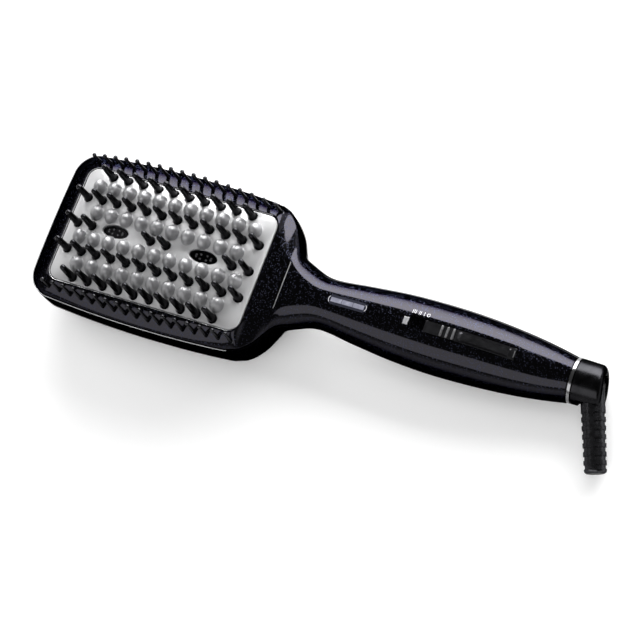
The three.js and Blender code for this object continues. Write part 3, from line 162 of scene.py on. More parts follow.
# share of the length, half width, middle height, half height
HANDLE_FORM = [
    (0.1524, 12.9, 20.7, 11.6), (0.2632, 14.7, 19.4, 13.2), (0.4017, 16.8, 17.9, 14.9),
    (0.5402, 17.6, 16.4, 15.6), (0.6787, 17.1, 15.5, 15.1), (0.8172, 15.5, 13.9, 13.5),
    (0.9211, 13.4, 12.9, 11.9), (1.0, 11.2, 12.2, 11.2),
]
# distance from the seam, then how far the width, the ridge and the height are the head's
SHOULDER_FORM = [
    (-62, 1, 1, 1), (-47, 0.993, 1, 0.996), (-32, 0.973, 1, 0.984), (-16, 0.932, 1, 0.945),
    (-13, 0.904, 0.985, 0.932), (-11, 0.879, 0.925, 0.92), (-9.6, 0.861, 0.82, 0.908),
    (-8.5, 0.836, 0.72, 0.89), (-6.5, 0.779, 0.61, 0.85), (-3, 0.626, 0.485, 0.75),
    (0, 0.42, 0.4, 0.615), (2.5, 0.258, 0.335, 0.453), (5, 0.178, 0.27, 0.284),
    (8, 0.134, 0.2, 0.162), (11.5, 0.086, 0.13, 0.077), (16.5, 0.024, 0.05, 0.015),
    (22, 0, 0, 0),
]
NECK_S = HANDLE_FORM[0][0] * HANDLE_LENGTH
RIDGE = 0.5         # half width of the level ridge
PARTING = 0.25      # half the gap between the upper and the lower shell
SEAM_GAP = 0.2      # half the gap between the frame and the handle shell
TONGUE_RUN = 9.9    # from the opening to the seam
RIM_Z = 32.0        # height of the head's rim and of the seam
TURN_Z = 18.0       # where the tub's wall turns under
BACK_INSET = 18.0   # from the rim to the tub's flat back
CROWN_GAP = 0.6     # from the opening to the ridge
HEAD_BULGE, ROUND_BULGE = 1.2, 2.0  # power of a section's curve, 2 for an ellipse

print("body", FAR_X, "to", END_X, "mm")

# %% [markdown]
# ## Smooth curves through a table
# A curve object could join the rows, but it is slow to read at a given place. A
# little arithmetic gives the same smooth line: at each row the slope is that of
# the line between its neighbours, and the slope of one end can be set level.

# %% Smooth curve
def smooth(rows, column, where, level_end=None):
    """A column's value on a smooth curve through the rows, level at one end if wanted."""
    last = len(rows) - 1
    where = min(max(where, rows[0][0]), rows[last][0])
    k = 0
    while k < last - 1 and where > rows[k + 1][0]:
        k += 1

    def slope(i):
        if i == level_end:
            return 0
        low, high = rows[max(i - 1, 0)], rows[min(i + 1, last)]
        return (high[column] - low[column]) / (high[0] - low[0])

    p, q = rows[k], rows[k + 1]
    width = q[0] - p[0]
    t = (where - p[0]) / width
    t2, t3 = t * t, t * t * t
    return ((2 * t3 - 3 * t2 + 1) * p[column] + (t3 - 2 * t2 + t) * width * slope(k)
            + (3 * t2 - 2 * t3) * q[column] + (t3 - t2) * width * slope(k + 1))


print("widest half of the handle", round(max(smooth(HANDLE_FORM, 1, i / 50, 0) for i in range(51)), 2))

# %% [markdown]
# ## Stations
# A station is one section of the body. It has a point on the side, one on the
# top's ridge and one on the back, and the heights that belong to them. All of
# them could lie across the brush, as a boat's ribs do, but the head's far
# corners would come out ragged. So handle and shoulder stations lie across, and
# round the head's far end they fan out.

# %% Stations of handle and shoulder
def handle_station(s):
    share = s / HANDLE_LENGTH
    half, middle, high = (smooth(HANDLE_FORM, column, share, 0) for column in (1, 2, 3))
    x = SEAM_X + s
    return {"side": (x, half), "crown": (x, RIDGE), "back": (x, RIDGE), "open": (x, 0),
            "crown_z": middle + high, "edge_z": middle + PARTING,
            "turn_z": middle - PARTING, "back_z": middle - high, "bulge": ROUND_BULGE}


NECK = handle_station(NECK_S)


def top_height(s):
    if s >= 0:
        share = min(s / NECK_S, 1)
        return mix(RIM_Z, NECK["crown_z"], share * (2 - share))
    return min(PLATE_TOP, mix(RIM_Z, PLATE_TOP, -s / TONGUE_RUN))


def shoulder_station(s):
    last = len(SHOULDER_FORM) - 1
    width, level, height = (smooth(SHOULDER_FORM, column, s, last) for column in (1, 2, 3))
    x = SEAM_X + s
    return {"side": (x, mix(NECK["side"][1], HEAD_HALF, width)),
            "crown": (x, mix(RIDGE, OPENING[1] + CROWN_GAP, level)),
            "back": (x, mix(RIDGE, HEAD_HALF - BACK_INSET, width)),
            "crown_z": top_height(s), "edge_z": mix(NECK["edge_z"], RIM_Z, height),
            "turn_z": mix(NECK["turn_z"], TURN_Z, height),
            "back_z": mix(NECK["back_z"], 0, height),
            "bulge": mix(ROUND_BULGE, HEAD_BULGE, min(1 - s / NECK_S, 1))}


def body_station(s):
    return handle_station(s) if s >= NECK_S else shoulder_station(s)


def handle_top(x):
    return handle_station(x - SEAM_X)["crown_z"]


# %% [markdown]
# ## Far end of the head
# Round the far end four outlines lie inside each other: the rim, the ridge, the
# opening and the back's flat. They could be offset copies of one line, but their
# corners differ. So one function makes each of them in the same steps, along the
# side, round the corner and across the end, and their points match in number.

# %% Stations of the far end
HEAD_CORNER, END_BOW, BACK_CORNER = 13, 0.5, 6


def far_outline(far_x, half_at, corner, bow, steps):
    corner_x = far_x + bow + corner
    corner_y = half_at(corner_x) - corner
    side, bend, end = steps
    points = []
    for i in range(side + 1):
        x = mix(0, corner_x, i / side)
        points.append((x, half_at(x)))
    for i in range(1, bend + 1):
        angle = i / bend * math.pi / 2
        points.append((corner_x - corner * math.sin(angle), corner_y + corner * math.cos(angle)))
    for i in range(1, end + 1):
        y = mix(corner_y, 0, i / end)
        points.append((far_x + bow * (y / corner_y) ** 2, y))
    return points


def side_half(x):
    return HEAD_HALF - SIDE_BOW * (x / OPENING[0]) ** 2


def far_stations(steps=(18, 18, 10)):
    length, width, corner = OPENING
    side = far_outline(FAR_X, side_half, HEAD_CORNER, END_BOW, steps)
    crown = far_outline(-length - CROWN_GAP, lambda x: width + CROWN_GAP, corner + CROWN_GAP, 0, steps)
    hole = far_outline(-length, lambda x: width, corner, 0, steps)
    back = far_outline(FAR_X + BACK_INSET, lambda x: HEAD_HALF - BACK_INSET, BACK_CORNER, 0, steps)
    heights = {"crown_z": PLATE_TOP, "edge_z": RIM_Z, "turn_z": TURN_Z, "back_z": 0.0}
    return [{"side": side[i], "crown": crown[i], "open": hole[i], "back": back[i],
             "bulge": HEAD_BULGE, **heights} for i in range(len(side))]


print("far stations", len(far_stations()))

# %% [markdown]
# ## Opening for the plate
# The opening is one more outline. Along the long sides and the far end it runs
# beside the ridge. At the handle's end it turns its corner and comes back
# across, while the ridge runs on over the shoulder. A boolean could cut it, but
# that leaves long thin faces. As an edge of the grid it stays clean.

# %% Stations of the head
CORNER_START, CORNER_END = -16, -9.6  # the opening's corner, as distances from the seam
COARSE_STEP, FINE_STEP = 2.9, 0.5


def opening_beside(s):
    """The opening's point that belongs to the ridge's point at s."""
    length, width, corner = OPENING
    if s <= CORNER_START:
        return (min(SEAM_X + s, length - corner), width)
    if s <= CORNER_END:
        angle = (s - CORNER_START) / (CORNER_END - CORNER_START) * math.pi / 2
        return (length - corner + corner * math.sin(angle), width - corner + corner * math.cos(angle))
    seam_y = shoulder_station(-SEAM_GAP)["crown"][1]
    return (length, mix(width - corner, seam_y, (s - CORNER_END) / (-SEAM_GAP - CORNER_END)))


def along(start, end, step):
    count = max(1, math.ceil(abs(end - start) / step - 1e-6))
    return [mix(start, end, i / count) for i in range(count + 1)]


near_s = (along(-SEAM_X, CORNER_START, COARSE_STEP)[1:] + along(CORNER_START, CORNER_END, FINE_STEP)[1:]
          + along(CORNER_END, -0.6, FINE_STEP)[1:] + [-0.4, -SEAM_GAP])
head_stations = list(reversed(far_stations()))
for s in near_s:
    station = shoulder_station(s)
    station["open"] = opening_beside(s)
    head_stations.append(station)
print("head stations", len(head_stations))

# %% [markdown]
# ## Double line along the rim
# Along its whole rim the housing shows a double line. The frame and the handle
# shell end just inside the back housing's lip, with a groove between. Scaling
# the outline would make the groove uneven, so each of its points is drawn in by
# the same distance, square to the outline.

# %% Rim outlines
GROOVE = 0.95       # from the silhouette to the frame's edge
LIP = 0.6           # width of the back housing's lip
FRAME_RISE = 0.35   # how much higher than the lip the frame ends


def add_normals(stations, outline, name):
    """Gives each station the direction square to an outline that starts at the far end."""
    places = [station[outline] for station in stations]
    for i, station in enumerate(stations):
        (low_x, low_y), (high_x, high_y) = places[max(i - 1, 0)], places[min(i + 1, len(places) - 1)]
        size = math.hypot(high_x - low_x, high_y - low_y)
        station[name] = (-(high_y - low_y) / size, (high_x - low_x) / size)
    stations[0][name] = (-1.0, 0.0)


def drawn_in(station, inset):
    (x, y), (out_x, out_y) = station["side"], station["out"]
    return (x - out_x * inset, y - out_y * inset)


def top_section(station, steps, shares=None):
    """From the ridge down to the frame's edge, then into the groove."""
    edge = drawn_in(station, GROOVE)
    crown = station["crown"]
    power = 2 / station["bulge"]
    low = station["edge_z"] + FRAME_RISE
    points = []
    for k in range(steps + 1):
        angle = (shares[k] if shares else k / steps) * math.pi / 2
        side = math.sin(angle) ** power
        z = mix(low, station["crown_z"], max(math.cos(angle), 0) ** power)
        points.append((mix(crown[0], edge[0], side), mix(crown[1], edge[1], side), z))
    return points + [(*edge, low - 0.5), (*edge, low - 1.5)]


add_normals(head_stations, "side", "out")
add_normals(head_stations, "open", "open_out")
head_stations[-1]["open_out"] = (1.0, 0.0)
print("frame's half width at its middle", round(drawn_in(head_stations[len(far_stations())], GROOVE)[1], 2))

# %% [markdown]
# ## Navy gloss
# The housing is moulded in a near-black navy with a fine metallic fleck under a
# clear gloss. Real flakes could be scattered in thousands, but a pattern does it
# in one mesh. Each cell of a Voronoi pattern is one flake. Most are smooth and
# dark, and a few are bluish and rough, so that they glint where the gloss is
# dark and disappear in its shine. The base is a very dark metal whose tint is
# low, which keeps the housing black at glancing angles.

# %% Helpers for finishes
def new_finish(name):
    material = bpy.data.materials.new(name)
    material.use_nodes = True
    return material, material.node_tree, material.node_tree.nodes["Principled BSDF"]


def add(tree, kind, *sources, **values):
    """A node with these values, whose first inputs come from the sources."""
    node = tree.nodes.new(kind)
    for key, value in values.items():
        if key in node.inputs:
            node.inputs[key].default_value = value
        else:
            setattr(node, key, value)
    for socket, source in zip(node.inputs, sources):
        tree.links.new(source, socket)
    return node


def ramp(tree, source, stops):
    """Turns a value into colours, or into plain levels where a stop is a number."""
    node = add(tree, "ShaderNodeValToRGB", source)
    marks = node.color_ramp.elements
    while len(marks) < len(stops):
        marks.new(0.5)
    for mark, (position, color) in zip(marks, stops):
        mark.position = position
        mark.color = (*color, 1) if isinstance(color, tuple) else (color, color, color, 1)
    return node.outputs[0]


def object_place(tree):
    return add(tree, "ShaderNodeTexCoord").outputs["Object"]


def grain(tree, size, detail=2.0):
    """Noise whose lumps are about size millimetres across."""
    noise = add(tree, "ShaderNodeTexNoise", object_place(tree), Scale=1 / (size * MM), Detail=detail)
    return noise.outputs["Fac"]


def bump(tree, shader, source, strength, distance):
    node = add(tree, "ShaderNodeBump", Strength=strength, Distance=distance)
    tree.links.new(source, node.inputs["Height"])
    tree.links.new(node.outputs[0], shader.inputs["Normal"])


# %% Navy gloss
FLAKE = 0.42                          # width of a flake in millimetres
FLAKE_STOPS = (0.0, 0.84, 0.90, 1.0)  # plain up to the second stop, full fleck at the last
FLAKE_ROUGH = (0.07, 0.07, 0.3, 0.45)


def navy_gloss(name, base, fleck, tint=0.05):
    material, tree, shader = new_finish(name)
    cells = add(tree, "ShaderNodeTexVoronoi", object_place(tree), Scale=1 / (FLAKE * MM))
    pick = add(tree, "ShaderNodeSeparateColor", cells.outputs["Color"]).outputs["Red"]
    half = tuple(mix(a, b, 0.5) for a, b in zip(base, fleck))
    for socket, levels in (("Base Color", (base, base, half, fleck)), ("Roughness", FLAKE_ROUGH)):
        tree.links.new(ramp(tree, pick, list(zip(FLAKE_STOPS, levels))), shader.inputs[socket])
    shader.inputs["Metallic"].default_value = 1
    shader.inputs["Specular Tint"].default_value = (tint, tint, tint, 1)
    bump(tree, shader, grain(tree, 6.0, 0), 0.06, 0.0002)
    return material


NAVY = navy_gloss("navy_gloss", (0.0135, 0.0130, 0.0150), (0.021, 0.023, 0.037))
NAVY_BACK = navy_gloss("navy_gloss_back", (0.004, 0.004, 0.0046), (0.007, 0.0075, 0.011))
print("navy finishes", NAVY.name, NAVY_BACK.name)

# %% [markdown]
# ## One recipe for the plain finishes
# Real plastic and metal are never of one even colour. All other finishes share
# one recipe: colour and roughness drift a little in soft lumps, and some have a
# fine grain. Two greys come first. They paint highlights: the thin bright lines
# along the mouldings' edges and at the seam.

# %% Plain finishes
PIT_DEPTH = 0.00004


def coat(name, low, high, size, rough, rough_size=0, metallic=0.0, tint=0, pits=()):
    """A finish whose colour drifts from low to high in lumps of this size.

    Rough is one level, or two to drift between, and pits is a grain's size and strength."""
    material, tree, shader = new_finish(name)
    colour = ramp(tree, grain(tree, size), [(0.3, low), (0.7, high)])
    tree.links.new(colour, shader.inputs["Base Color"])
    if rough_size:
        level = ramp(tree, grain(tree, rough_size), [(0.3, rough[0]), (0.7, rough[1])])
        tree.links.new(level, shader.inputs["Roughness"])
    else:
        shader.inputs["Roughness"].default_value = rough
    shader.inputs["Metallic"].default_value = metallic
    if tint:
        shader.inputs["Specular Tint"].default_value = (tint, tint, tint, 1)
    if pits:
        bump(tree, shader, grain(tree, pits[0]), pits[1], PIT_DEPTH)
    return material


# Painted highlight: a light grey, part metal, for the thin bright line along the frame's opening and the
# housing's lip.
EDGE_HIGHLIGHT = coat("painted_edge_highlight", (0.42, 0.42, 0.43), (0.52, 0.52, 0.53), 5.0, 0.32, metallic=0.4)
# Painted highlight: a darker grey for the thin bright line at the seam between frame and handle shell.
SEAM_HIGHLIGHT = coat("seam_edge", (0.20, 0.20, 0.205), (0.25, 0.25, 0.255), 5.0, 0.32, metallic=0.4)
print("edge finishes", EDGE_HIGHLIGHT.name, SEAM_HIGHLIGHT.name)

# %% [markdown]
# ## Frame of the head
# A picture frame slopes from the plate to the rim. It could start as a box with
# an inset face, but its slope has to run on into the shoulder. So it is a grid
# over the stations, from the opening's wall across a level lip and down to the
# rim. Its inner edge has a small rounding, whose faces get a grey that paints a
# highlight line on it, and at the handle's end a level tongue runs down to the seam.

# %% Edges of the frame
LIT_END_X = 48.0    # the bright edges end before the shoulder


def lit_columns(bm, grid, first, last):
    """Gives the head's faces between two of a grid's columns the second finish, the painted highlight."""
    chosen = {vert for (i, k), vert in grid.items() if first <= k <= last and vert.co.x < LIT_END_X}
    for face in bm.faces:
        if all(vert in chosen for vert in face.verts):
            face.material_index = 1


ROUNDING = [(0.0, -0.3), (0.09, -0.09), (0.3, 0.0)]  # inset and height of a small round edge
SEAM_ROUND, SEAM_DEPTH = 0.16, 1.6


def rounded(bm, edges, offset, segments=2):
    bmesh.ops.bevel(bm, geom=edges, offset=offset, offset_type="OFFSET", segments=segments,
                    profile=0.5, affect="EDGES", material=-1)


def opening_edge(station):
    """Wall and rounding of the opening, from below to the level lip."""
    (x, y), (dx, dy) = station["open"], station["open_out"]
    top = top_height(min(x - SEAM_X, -TONGUE_RUN))
    return [(x, y, top - 2.4)] + [(x + dx * inset, y + dy * inset, top + up) for inset, up in ROUNDING]


LEVEL_STEPS, SECTION_STEPS = 6, 16


def level_points(start, end):
    points = []
    for k in range(1, LEVEL_STEPS):
        x, y = mix(start[0], end[0], k / LEVEL_STEPS), mix(start[1], end[1], k / LEVEL_STEPS)
        points.append((x, y, top_height(x - SEAM_X) if x > 0 else PLATE_TOP))
    return points


# %% [markdown]
# ## Building the frame
# The frame could be drawn all round, but half of it is enough. The stations give
# the rows of one grid, and the tongue is a second, small one. The mirror makes
# the other half, and then the edge at the seam is rounded off.

# %% Frame
bm = bmesh.new()
rows = []
for station in head_stations:
    inner = opening_edge(station)
    level = level_points(inner[-1], station["crown"])
    rows.append(inner + level + top_section(station, SECTION_STEPS))
# The rounded inner edge of the opening gets the grey that paints its highlight line.
lit_columns(bm, formed_grid(bm, rows), 1, 3)

ridge_y = head_stations[-1]["crown"][1]
seam_x, seam_z = SEAM_X - SEAM_GAP, top_height(-SEAM_GAP)
tongue = []
for y in along(ridge_y, 0, 1.6):
    inner = opening_edge({"open": (OPENING[0], y), "open_out": (1.0, 0.0)})
    level = level_points(inner[-1], (seam_x, y))
    tongue.append(inner + level + [(seam_x, y, seam_z), (seam_x, y, seam_z - SEAM_DEPTH)])
formed_grid(bm, tongue)
mirror_halves(bm)
seam_edges = [edge for edge in bm.edges
              if all(abs(v.co.x - seam_x) < 0.01 and abs(v.co.z - seam_z) < 0.01
                     and abs(v.co.y) < ridge_y + 0.01 for v in edge.verts)]
rounded(bm, seam_edges, SEAM_ROUND)
frame_skin = part(bm, "head_frame_skin", NAVY, "body", ["head_frame"])
frame_skin.data.materials.append(EDGE_HIGHLIGHT)

# %% [markdown]
# ## Back housing
# The deep tub of the head and the lower half of the handle are one moulding. Two
# pieces joined afterwards would show a crease at the shoulder, so one grid runs
# from the far end to the handle's end. Its section starts with the rounded lip
# along the rim, drops as an upright wall and turns under as a quarter ellipse to
# the flat that the brush lies on.

# %% Section of the back housing
def back_section(station, steps):
    """The lip from its hidden foot, the wall, and the turn to the flat back."""
    side, edge_z = station["side"], station["edge_z"]
    rim = [(1.3, -1.2), (LIP, -1.2), (LIP, -0.3), (LIP - 0.09, -0.09), (LIP - 0.3, 0),
           (0.09, -0.09), (0, -0.3)]
    points = [(*drawn_in(station, inset), edge_z + drop) for inset, drop in rim]
    back = station["back"]
    for k in range(steps + 1):
        angle = k / steps * math.pi / 2
        wide = math.cos(angle)
        z = mix(station["turn_z"], station["back_z"], math.sin(angle))
        points.append((mix(back[0], side[0], wide), mix(back[1], side[1], wide), z))
    points.append((back[0], 0, station["back_z"]))
    return points


AXIS_Z = 12.2       # height of the handle's end and of the cord outlet
END_ROUNDING = [(1, 0.5), (0.994, 0.22), (0.982, 0.08), (0.962, 0), (0.6, 0)]


def closed_end(rows):
    """Draws the last section in, step by step, to the handle's rounded end."""
    last = rows.pop()
    for share, gap in END_ROUNDING:
        rows.append([(END_X - gap, y * share, AXIS_Z + (z - AXIS_Z) * share) for x, y, z in last])
    return rows


print("end rounding", len(END_ROUNDING), "sections")

# %% [markdown]
# ## Stations of the whole body
# Even steps along the handle could miss the places where an opening starts or
# ends. So these places are marks that the steps always meet. The steps are finer
# at the neck, where the body turns most.

# %% Back housing
SLOT_X, SLOT_END_X, SLOT_HALF = 128.4, 180.6, 3.2
MARKER_X, MARKER_END_X, MARKER_HALF = 125.3, 128.1, 2.05
LIGHT_X, LIGHT_HALF, LIGHT_WIDE = 96.85, 10.15, 2.4
NECK_STEP, HANDLE_STEP = 0.55, 1.6
marks = [SEAM_GAP, NECK_S] + [x - SEAM_X for x in (MARKER_X, MARKER_END_X, SLOT_X, SLOT_END_X)]
marks.append(HANDLE_LENGTH - END_ROUNDING[0][1])
handle_s = [-SEAM_GAP]
for mark in marks:
    handle_s += along(handle_s[-1], mark, NECK_STEP if mark <= NECK_S else HANDLE_STEP)[1:]
handle_stations = [body_station(s) for s in handle_s]
all_stations = head_stations[:-1] + handle_stations
add_normals(all_stations, "side", "out")
head_stations[-1]["out"] = handle_stations[0]["out"]

bm = bmesh.new()
rows = closed_end([back_section(station, SECTION_STEPS) for station in all_stations])
# The lip's rounded top gets the grey that paints its highlight line.
lit_columns(bm, formed_grid(bm, rows), 3, 5)
mirror_halves(bm)
back_skin = part(bm, "back_housing_skin", NAVY_BACK, "body", ["back_housing"])
back_skin.data.materials.append(EDGE_HIGHLIGHT)

# %% [markdown]
# ## Handle shell
# The upper half of the handle carries the light window, the marker and the
# switch. Booleans could cut their openings, but their edges would be hard to
# round off. Instead, two columns of the grid run beside the openings, the faces
# over the marker and the switch are left out, and each open edge is pulled down
# into a wall with a floor. The light window lies on the closed shell.

# %% Sections of the shell
SHARES = 14
NEAR_TOP = [MARKER_HALF - RIDGE, SLOT_HALF - RIDGE]
TROUGH_DEPTH = 1.6


def top_shares(station):
    """Where the section's points lie, so that two columns run beside the slot."""
    reach = (station["side"][1] if station["bulge"] > 1.99 else NECK["side"][1]) - GROOVE - RIDGE
    first = [math.asin(wide / reach) / (math.pi / 2) for wide in NEAR_TOP]
    return [0] + first + [mix(first[-1], 1, k / (SHARES - 2)) for k in range(1, SHARES - 1)]


def shell_section(station):
    shares = top_shares(station)
    points = top_section(station, len(shares) - 1, shares)
    crown = station["crown"]
    return [(crown[0], 0, station["crown_z"])] + points


def trough_height(x):
    share = (x - SLOT_X) / (SLOT_END_X - SLOT_X)
    return mix(handle_top(SLOT_X), handle_top(SLOT_END_X), share) - TROUGH_DEPTH


print("trough from", round(trough_height(SLOT_X), 2), "to", round(trough_height(SLOT_END_X), 2), "mm high")

# %% [markdown]
# ## Openings of the shell
# The faces over an opening are found by where their middles lie. Their numbers
# could be listed instead, but a list breaks as soon as a step changes.

# %% Openings of the shell
CUT_DEPTH = 1.0     # faces further than this below the top belong to the sides
bm = bmesh.new()
formed_grid(bm, closed_end([shell_section(station) for station in handle_stations]))
holes = [(SLOT_X, SLOT_END_X, SLOT_HALF), (MARKER_X, MARKER_END_X, MARKER_HALF)]
gone = []
for face in bm.faces:
    middle = face.calc_center_median()
    if middle.z < handle_top(middle.x) - CUT_DEPTH and middle.x > SEAM_X + NECK_S:
        continue
    if any(start < middle.x < end and middle.y < half for start, end, half in holes):
        gone.append(face)
    if middle.x < SEAM_X + SEAM_GAP and middle.y < ridge_y - 0.01 and middle.z > top_height(0) - 0.5:
        gone.append(face)
bmesh.ops.delete(bm, geom=gone, context="FACES")
mirror_halves(bm)
print("faces left out", len(gone))

# %% [markdown]
# ## Walls and floors of the openings
# A thick shell could come from Solidify, but only the walls of the openings are
# ever seen. So each open edge is extruded down, the foot of the slot and of the
# marker's bed is closed with a floor, and the edges are rounded off. A part of
# the edge at the seam gets a grey finish, a painted highlight that shows as a
# thin bright line.

# %% Handle shell
MARKER_DEPTH, SHELL_DEPTH = 1.3, 1.4
FOOT_ROUND, SLOT_ROUND, MARKER_ROUND = 0.3, 0.22, 0.12
# Between these bounds the seam's edge gets the grey that paints its highlight line.
SEAM_LINE_X, SEAM_LINE_Y = (0.1, 0.72), (-9, 12)  # the part of the seam's edge that shines


def open_edges(bm):
    return [edge for edge in bm.edges if len(edge.link_faces) == 1]


def loop_between(bm, x0, x1, half, low):
    """Open edges round a hole in the shell."""
    return [edge for edge in open_edges(bm)
            if all(x0 - 0.02 < v.co.x < x1 + 0.02 and abs(v.co.y) < half + 0.02
                   and v.co.z > low for v in edge.verts)]


def wall_down(bm, edges, height_at):
    made = bmesh.ops.extrude_edge_only(bm, edges=edges)["geom"]
    for vert in [g for g in made if isinstance(g, bmesh.types.BMVert)]:
        vert.co.z = height_at(vert.co.x)
    return [g for g in made if isinstance(g, bmesh.types.BMEdge) and len(g.link_faces) == 1]


slot_rim = loop_between(bm, SLOT_X, SLOT_END_X, SLOT_HALF, 20)
slot_foot = wall_down(bm, slot_rim, trough_height)
for face in bmesh.ops.contextual_create(bm, geom=slot_foot)["faces"]:
    face.material_index = 1
rounded(bm, slot_foot, FOOT_ROUND)
rounded(bm, slot_rim, SLOT_ROUND)
marker_rim = loop_between(bm, MARKER_X, MARKER_END_X, MARKER_HALF, 20)
marker_foot = wall_down(bm, marker_rim, lambda x: handle_top(SLOT_X) - MARKER_DEPTH)
bmesh.ops.contextual_create(bm, geom=marker_foot)
rounded(bm, marker_rim, MARKER_ROUND)
seam_rim = loop_between(bm, SEAM_X + 0.1, SEAM_X + 0.3, ridge_y + 0.3, 30)
wall_down(bm, seam_rim, lambda x: top_height(0) - SHELL_DEPTH)
rounded(bm, seam_rim, SEAM_ROUND)
# The seam's edge faces within these bounds get the painted highlight.
for face in bm.faces:
    x, y, z = face.calc_center_median()
    beside_seam = SEAM_LINE_X[0] < x - SEAM_X < SEAM_LINE_X[1]
    if beside_seam and SEAM_LINE_Y[0] < y < SEAM_LINE_Y[1] and z > top_height(0) - 1:
        face.material_index = 2
print("slot rim", len(slot_rim), "marker rim", len(marker_rim), "seam rim", len(seam_rim))
handle_skin = part(bm, "handle_shell_skin", NAVY, "body", ["handle_shell"])
handle_skin.data.materials.append(NAVY_BACK)
handle_skin.data.materials.append(SEAM_HIGHLIGHT)

# %% [markdown]
# ## Satin silver of the heated plate
# The plate is coated aluminium with a soft sheen. A pure metal would mirror the
# dark room and come out patchy, and a pure paint would look like card. Part
# metal and part plain colour gives it an even, bright face from every side. The
# domes have the same coating in a darker grey, a little more metallic and pearly.

# %% Plate finishes
def satin_metal(name, low, high, metallic, rough, size):
    return coat(name, low, high, size, (rough - 0.05, rough + 0.05), 0.4, metallic, pits=(0.3, 0.12))


PLATE = satin_metal("plate_satin", (0.37, 0.37, 0.375), (0.43, 0.43, 0.435), 0.25, 0.42, 14)
DOME = satin_metal("dome_satin", (0.24, 0.24, 0.247), (0.31, 0.31, 0.318), 0.35, 0.40, 5)
print("plate finishes", PLATE.name, DOME.name)

# %% [markdown]
# ## Rows and places
# The pins stand in five rows, and the domes in four rows between them. The
# middle row makes room for the two ion outlets. Each place could be typed in,
# but rows that are worked out from one pitch are even, and are easy to change.

# %% Rows and places
PITCH = 8.5
PIN_ROW_Y = (27, 13.8, 0, -13.8, -27)
DOME_ROW_Y = (20.4, 6.9, -6.9, -20.4)


def even_row(count):
    return [(i - (count - 1) / 2) * PITCH for i in range(count)]


FULL_ROW, SHORT_ROW = even_row(12), even_row(10)
MIDDLE_SHIFT = -0.6  # of the middle pins and the ion outlets
MIDDLE_ROW = FULL_ROW[:2] + [MIDDLE_SHIFT - PITCH / 2, MIDDLE_SHIFT + PITCH / 2] + FULL_ROW[-2:]
PIN_ROWS = list(zip(PIN_ROW_Y, (SHORT_ROW, FULL_ROW, MIDDLE_ROW, FULL_ROW, SHORT_ROW)))
DOME_ROWS = list(zip(DOME_ROW_Y, (even_row(11), SHORT_ROW, even_row(11), SHORT_ROW)))
ION_PLACES = [MIDDLE_SHIFT - 24.0, MIDDLE_SHIFT + 24.0]
ION_HALF = (7.2, 3.25)
print("pins", sum(len(row) for y, row in PIN_ROWS), "domes", sum(len(row) for y, row in DOME_ROWS))

# %% [markdown]
# ## Turned shapes
# Pins, domes, rings and the cap are all round. Cylinders and balls could be put
# together for them, but the joints would show. A few points give half of the
# section instead, and spin turns it once about the axis. Round things that are
# needed many times are made once and then copied to their places.

# %% Turning and copying
def turned(bm, points, steps):
    """Spins (radius, height) points about Z and returns the new vertices."""
    before = set(bm.verts)
    verts = [bm.verts.new((radius, 0, z)) for radius, z in points]
    edges = [bm.edges.new(pair) for pair in zip(verts, verts[1:])]
    bmesh.ops.spin(bm, geom=verts + edges, cent=(0, 0, 0), axis=(0, 0, 1),
                   angle=2 * math.pi, steps=steps, use_merge=True)
    new = [v for v in bm.verts if v not in before]
    bmesh.ops.remove_doubles(bm, verts=new, dist=0.001)
    return [v for v in bm.verts if v not in before]


def copied(bm, source, places):
    """Puts one copy of the mesh source at each place, then frees it."""
    mesh = mesh_of(source, "copy")
    for place in places:
        before = set(bm.verts)
        bm.from_mesh(mesh)
        new = [v for v in bm.verts if v not in before]
        bmesh.ops.transform(bm, verts=new, matrix=place)
    bpy.data.meshes.remove(mesh)


def at(x, y, z=0.0):
    return Matrix.Translation((x, y, z))


def arc(cx, cz, radius, start, end, steps):
    """Points of a circle in the section plane, angles in degrees from +radius."""
    points = []
    for i in range(steps + 1):
        angle = math.radians(mix(start, end, i / steps))
        points.append((cx + radius * math.cos(angle), cz + radius * math.sin(angle)))
    return points


# %% [markdown]
# ## Loops
# The plate's outline and its holes are loops of edges. A circle operator makes
# the round ones, and stretching makes them oval. The outline needs round
# corners, which a bevel on a square could give too, but then its points would
# not match from loop to loop. With matching points, bridging them is simple.

# %% Loops
def rounded_loop(bm, half_x, half_y, corner, z, steps=8):
    verts = []
    for qx, qy, turn_start in ((1, 1, 0), (-1, 1, 90), (-1, -1, 180), (1, -1, 270)):
        for i in range(steps + 1):
            angle = math.radians(turn_start + 90 * i / steps)
            verts.append(bm.verts.new((qx * (half_x - corner) + corner * math.cos(angle),
                                       qy * (half_y - corner) + corner * math.sin(angle), z)))
    return [bm.edges.new(pair) for pair in zip(verts, verts[1:] + verts[:1])]


def edges_at(verts):
    return list(dict.fromkeys(edge for vert in verts for edge in vert.link_edges))


def oval_loop(bm, cx, cy, half_x, half_y, z, steps=40):
    made = bmesh.ops.create_circle(bm, cap_ends=False, radius=1, segments=steps)
    for vert in made["verts"]:
        vert.co = (cx + vert.co.x * half_x, cy + vert.co.y * half_y, z)
    return edges_at(made["verts"])


def stacked(bm, loops):
    for low, high in zip(loops, loops[1:]):
        bmesh.ops.bridge_loops(bm, edges=low + high)


# %% [markdown]
# ## Heated plate
# A boolean for each of the plate's holes would be slow and would leave slivers.
# So the face is filled between the outline and the rims of all its holes. Each
# rim is a small stack of loops, which gives the hole a rounded edge and a wall,
# as a pressed and drilled plate has. Then the face is raised into its crown: an
# arch along the head that levels out towards the long sides, as the photo shows.

# %% Heated plate
PLATE_HALF = (51.7, 29.95, 5.5)  # half length, half width, corner
PLATE_CROWN = 5.0
ROUND = [(0.0, -2.0)] + ROUNDING
HOLE = 2.4


def crown_share(x, y):
    """How far a place of the plate's face is raised, 1 in its middle."""
    lengthwise = max(1 - (x / PLATE_HALF[0]) ** 2, 0)
    return lengthwise * max(1 - abs(y / PLATE_HALF[1]) ** 4, 0)


def crowned(verts):
    for vert in verts:
        vert.co.z += PLATE_CROWN * crown_share(vert.co.x, vert.co.y)


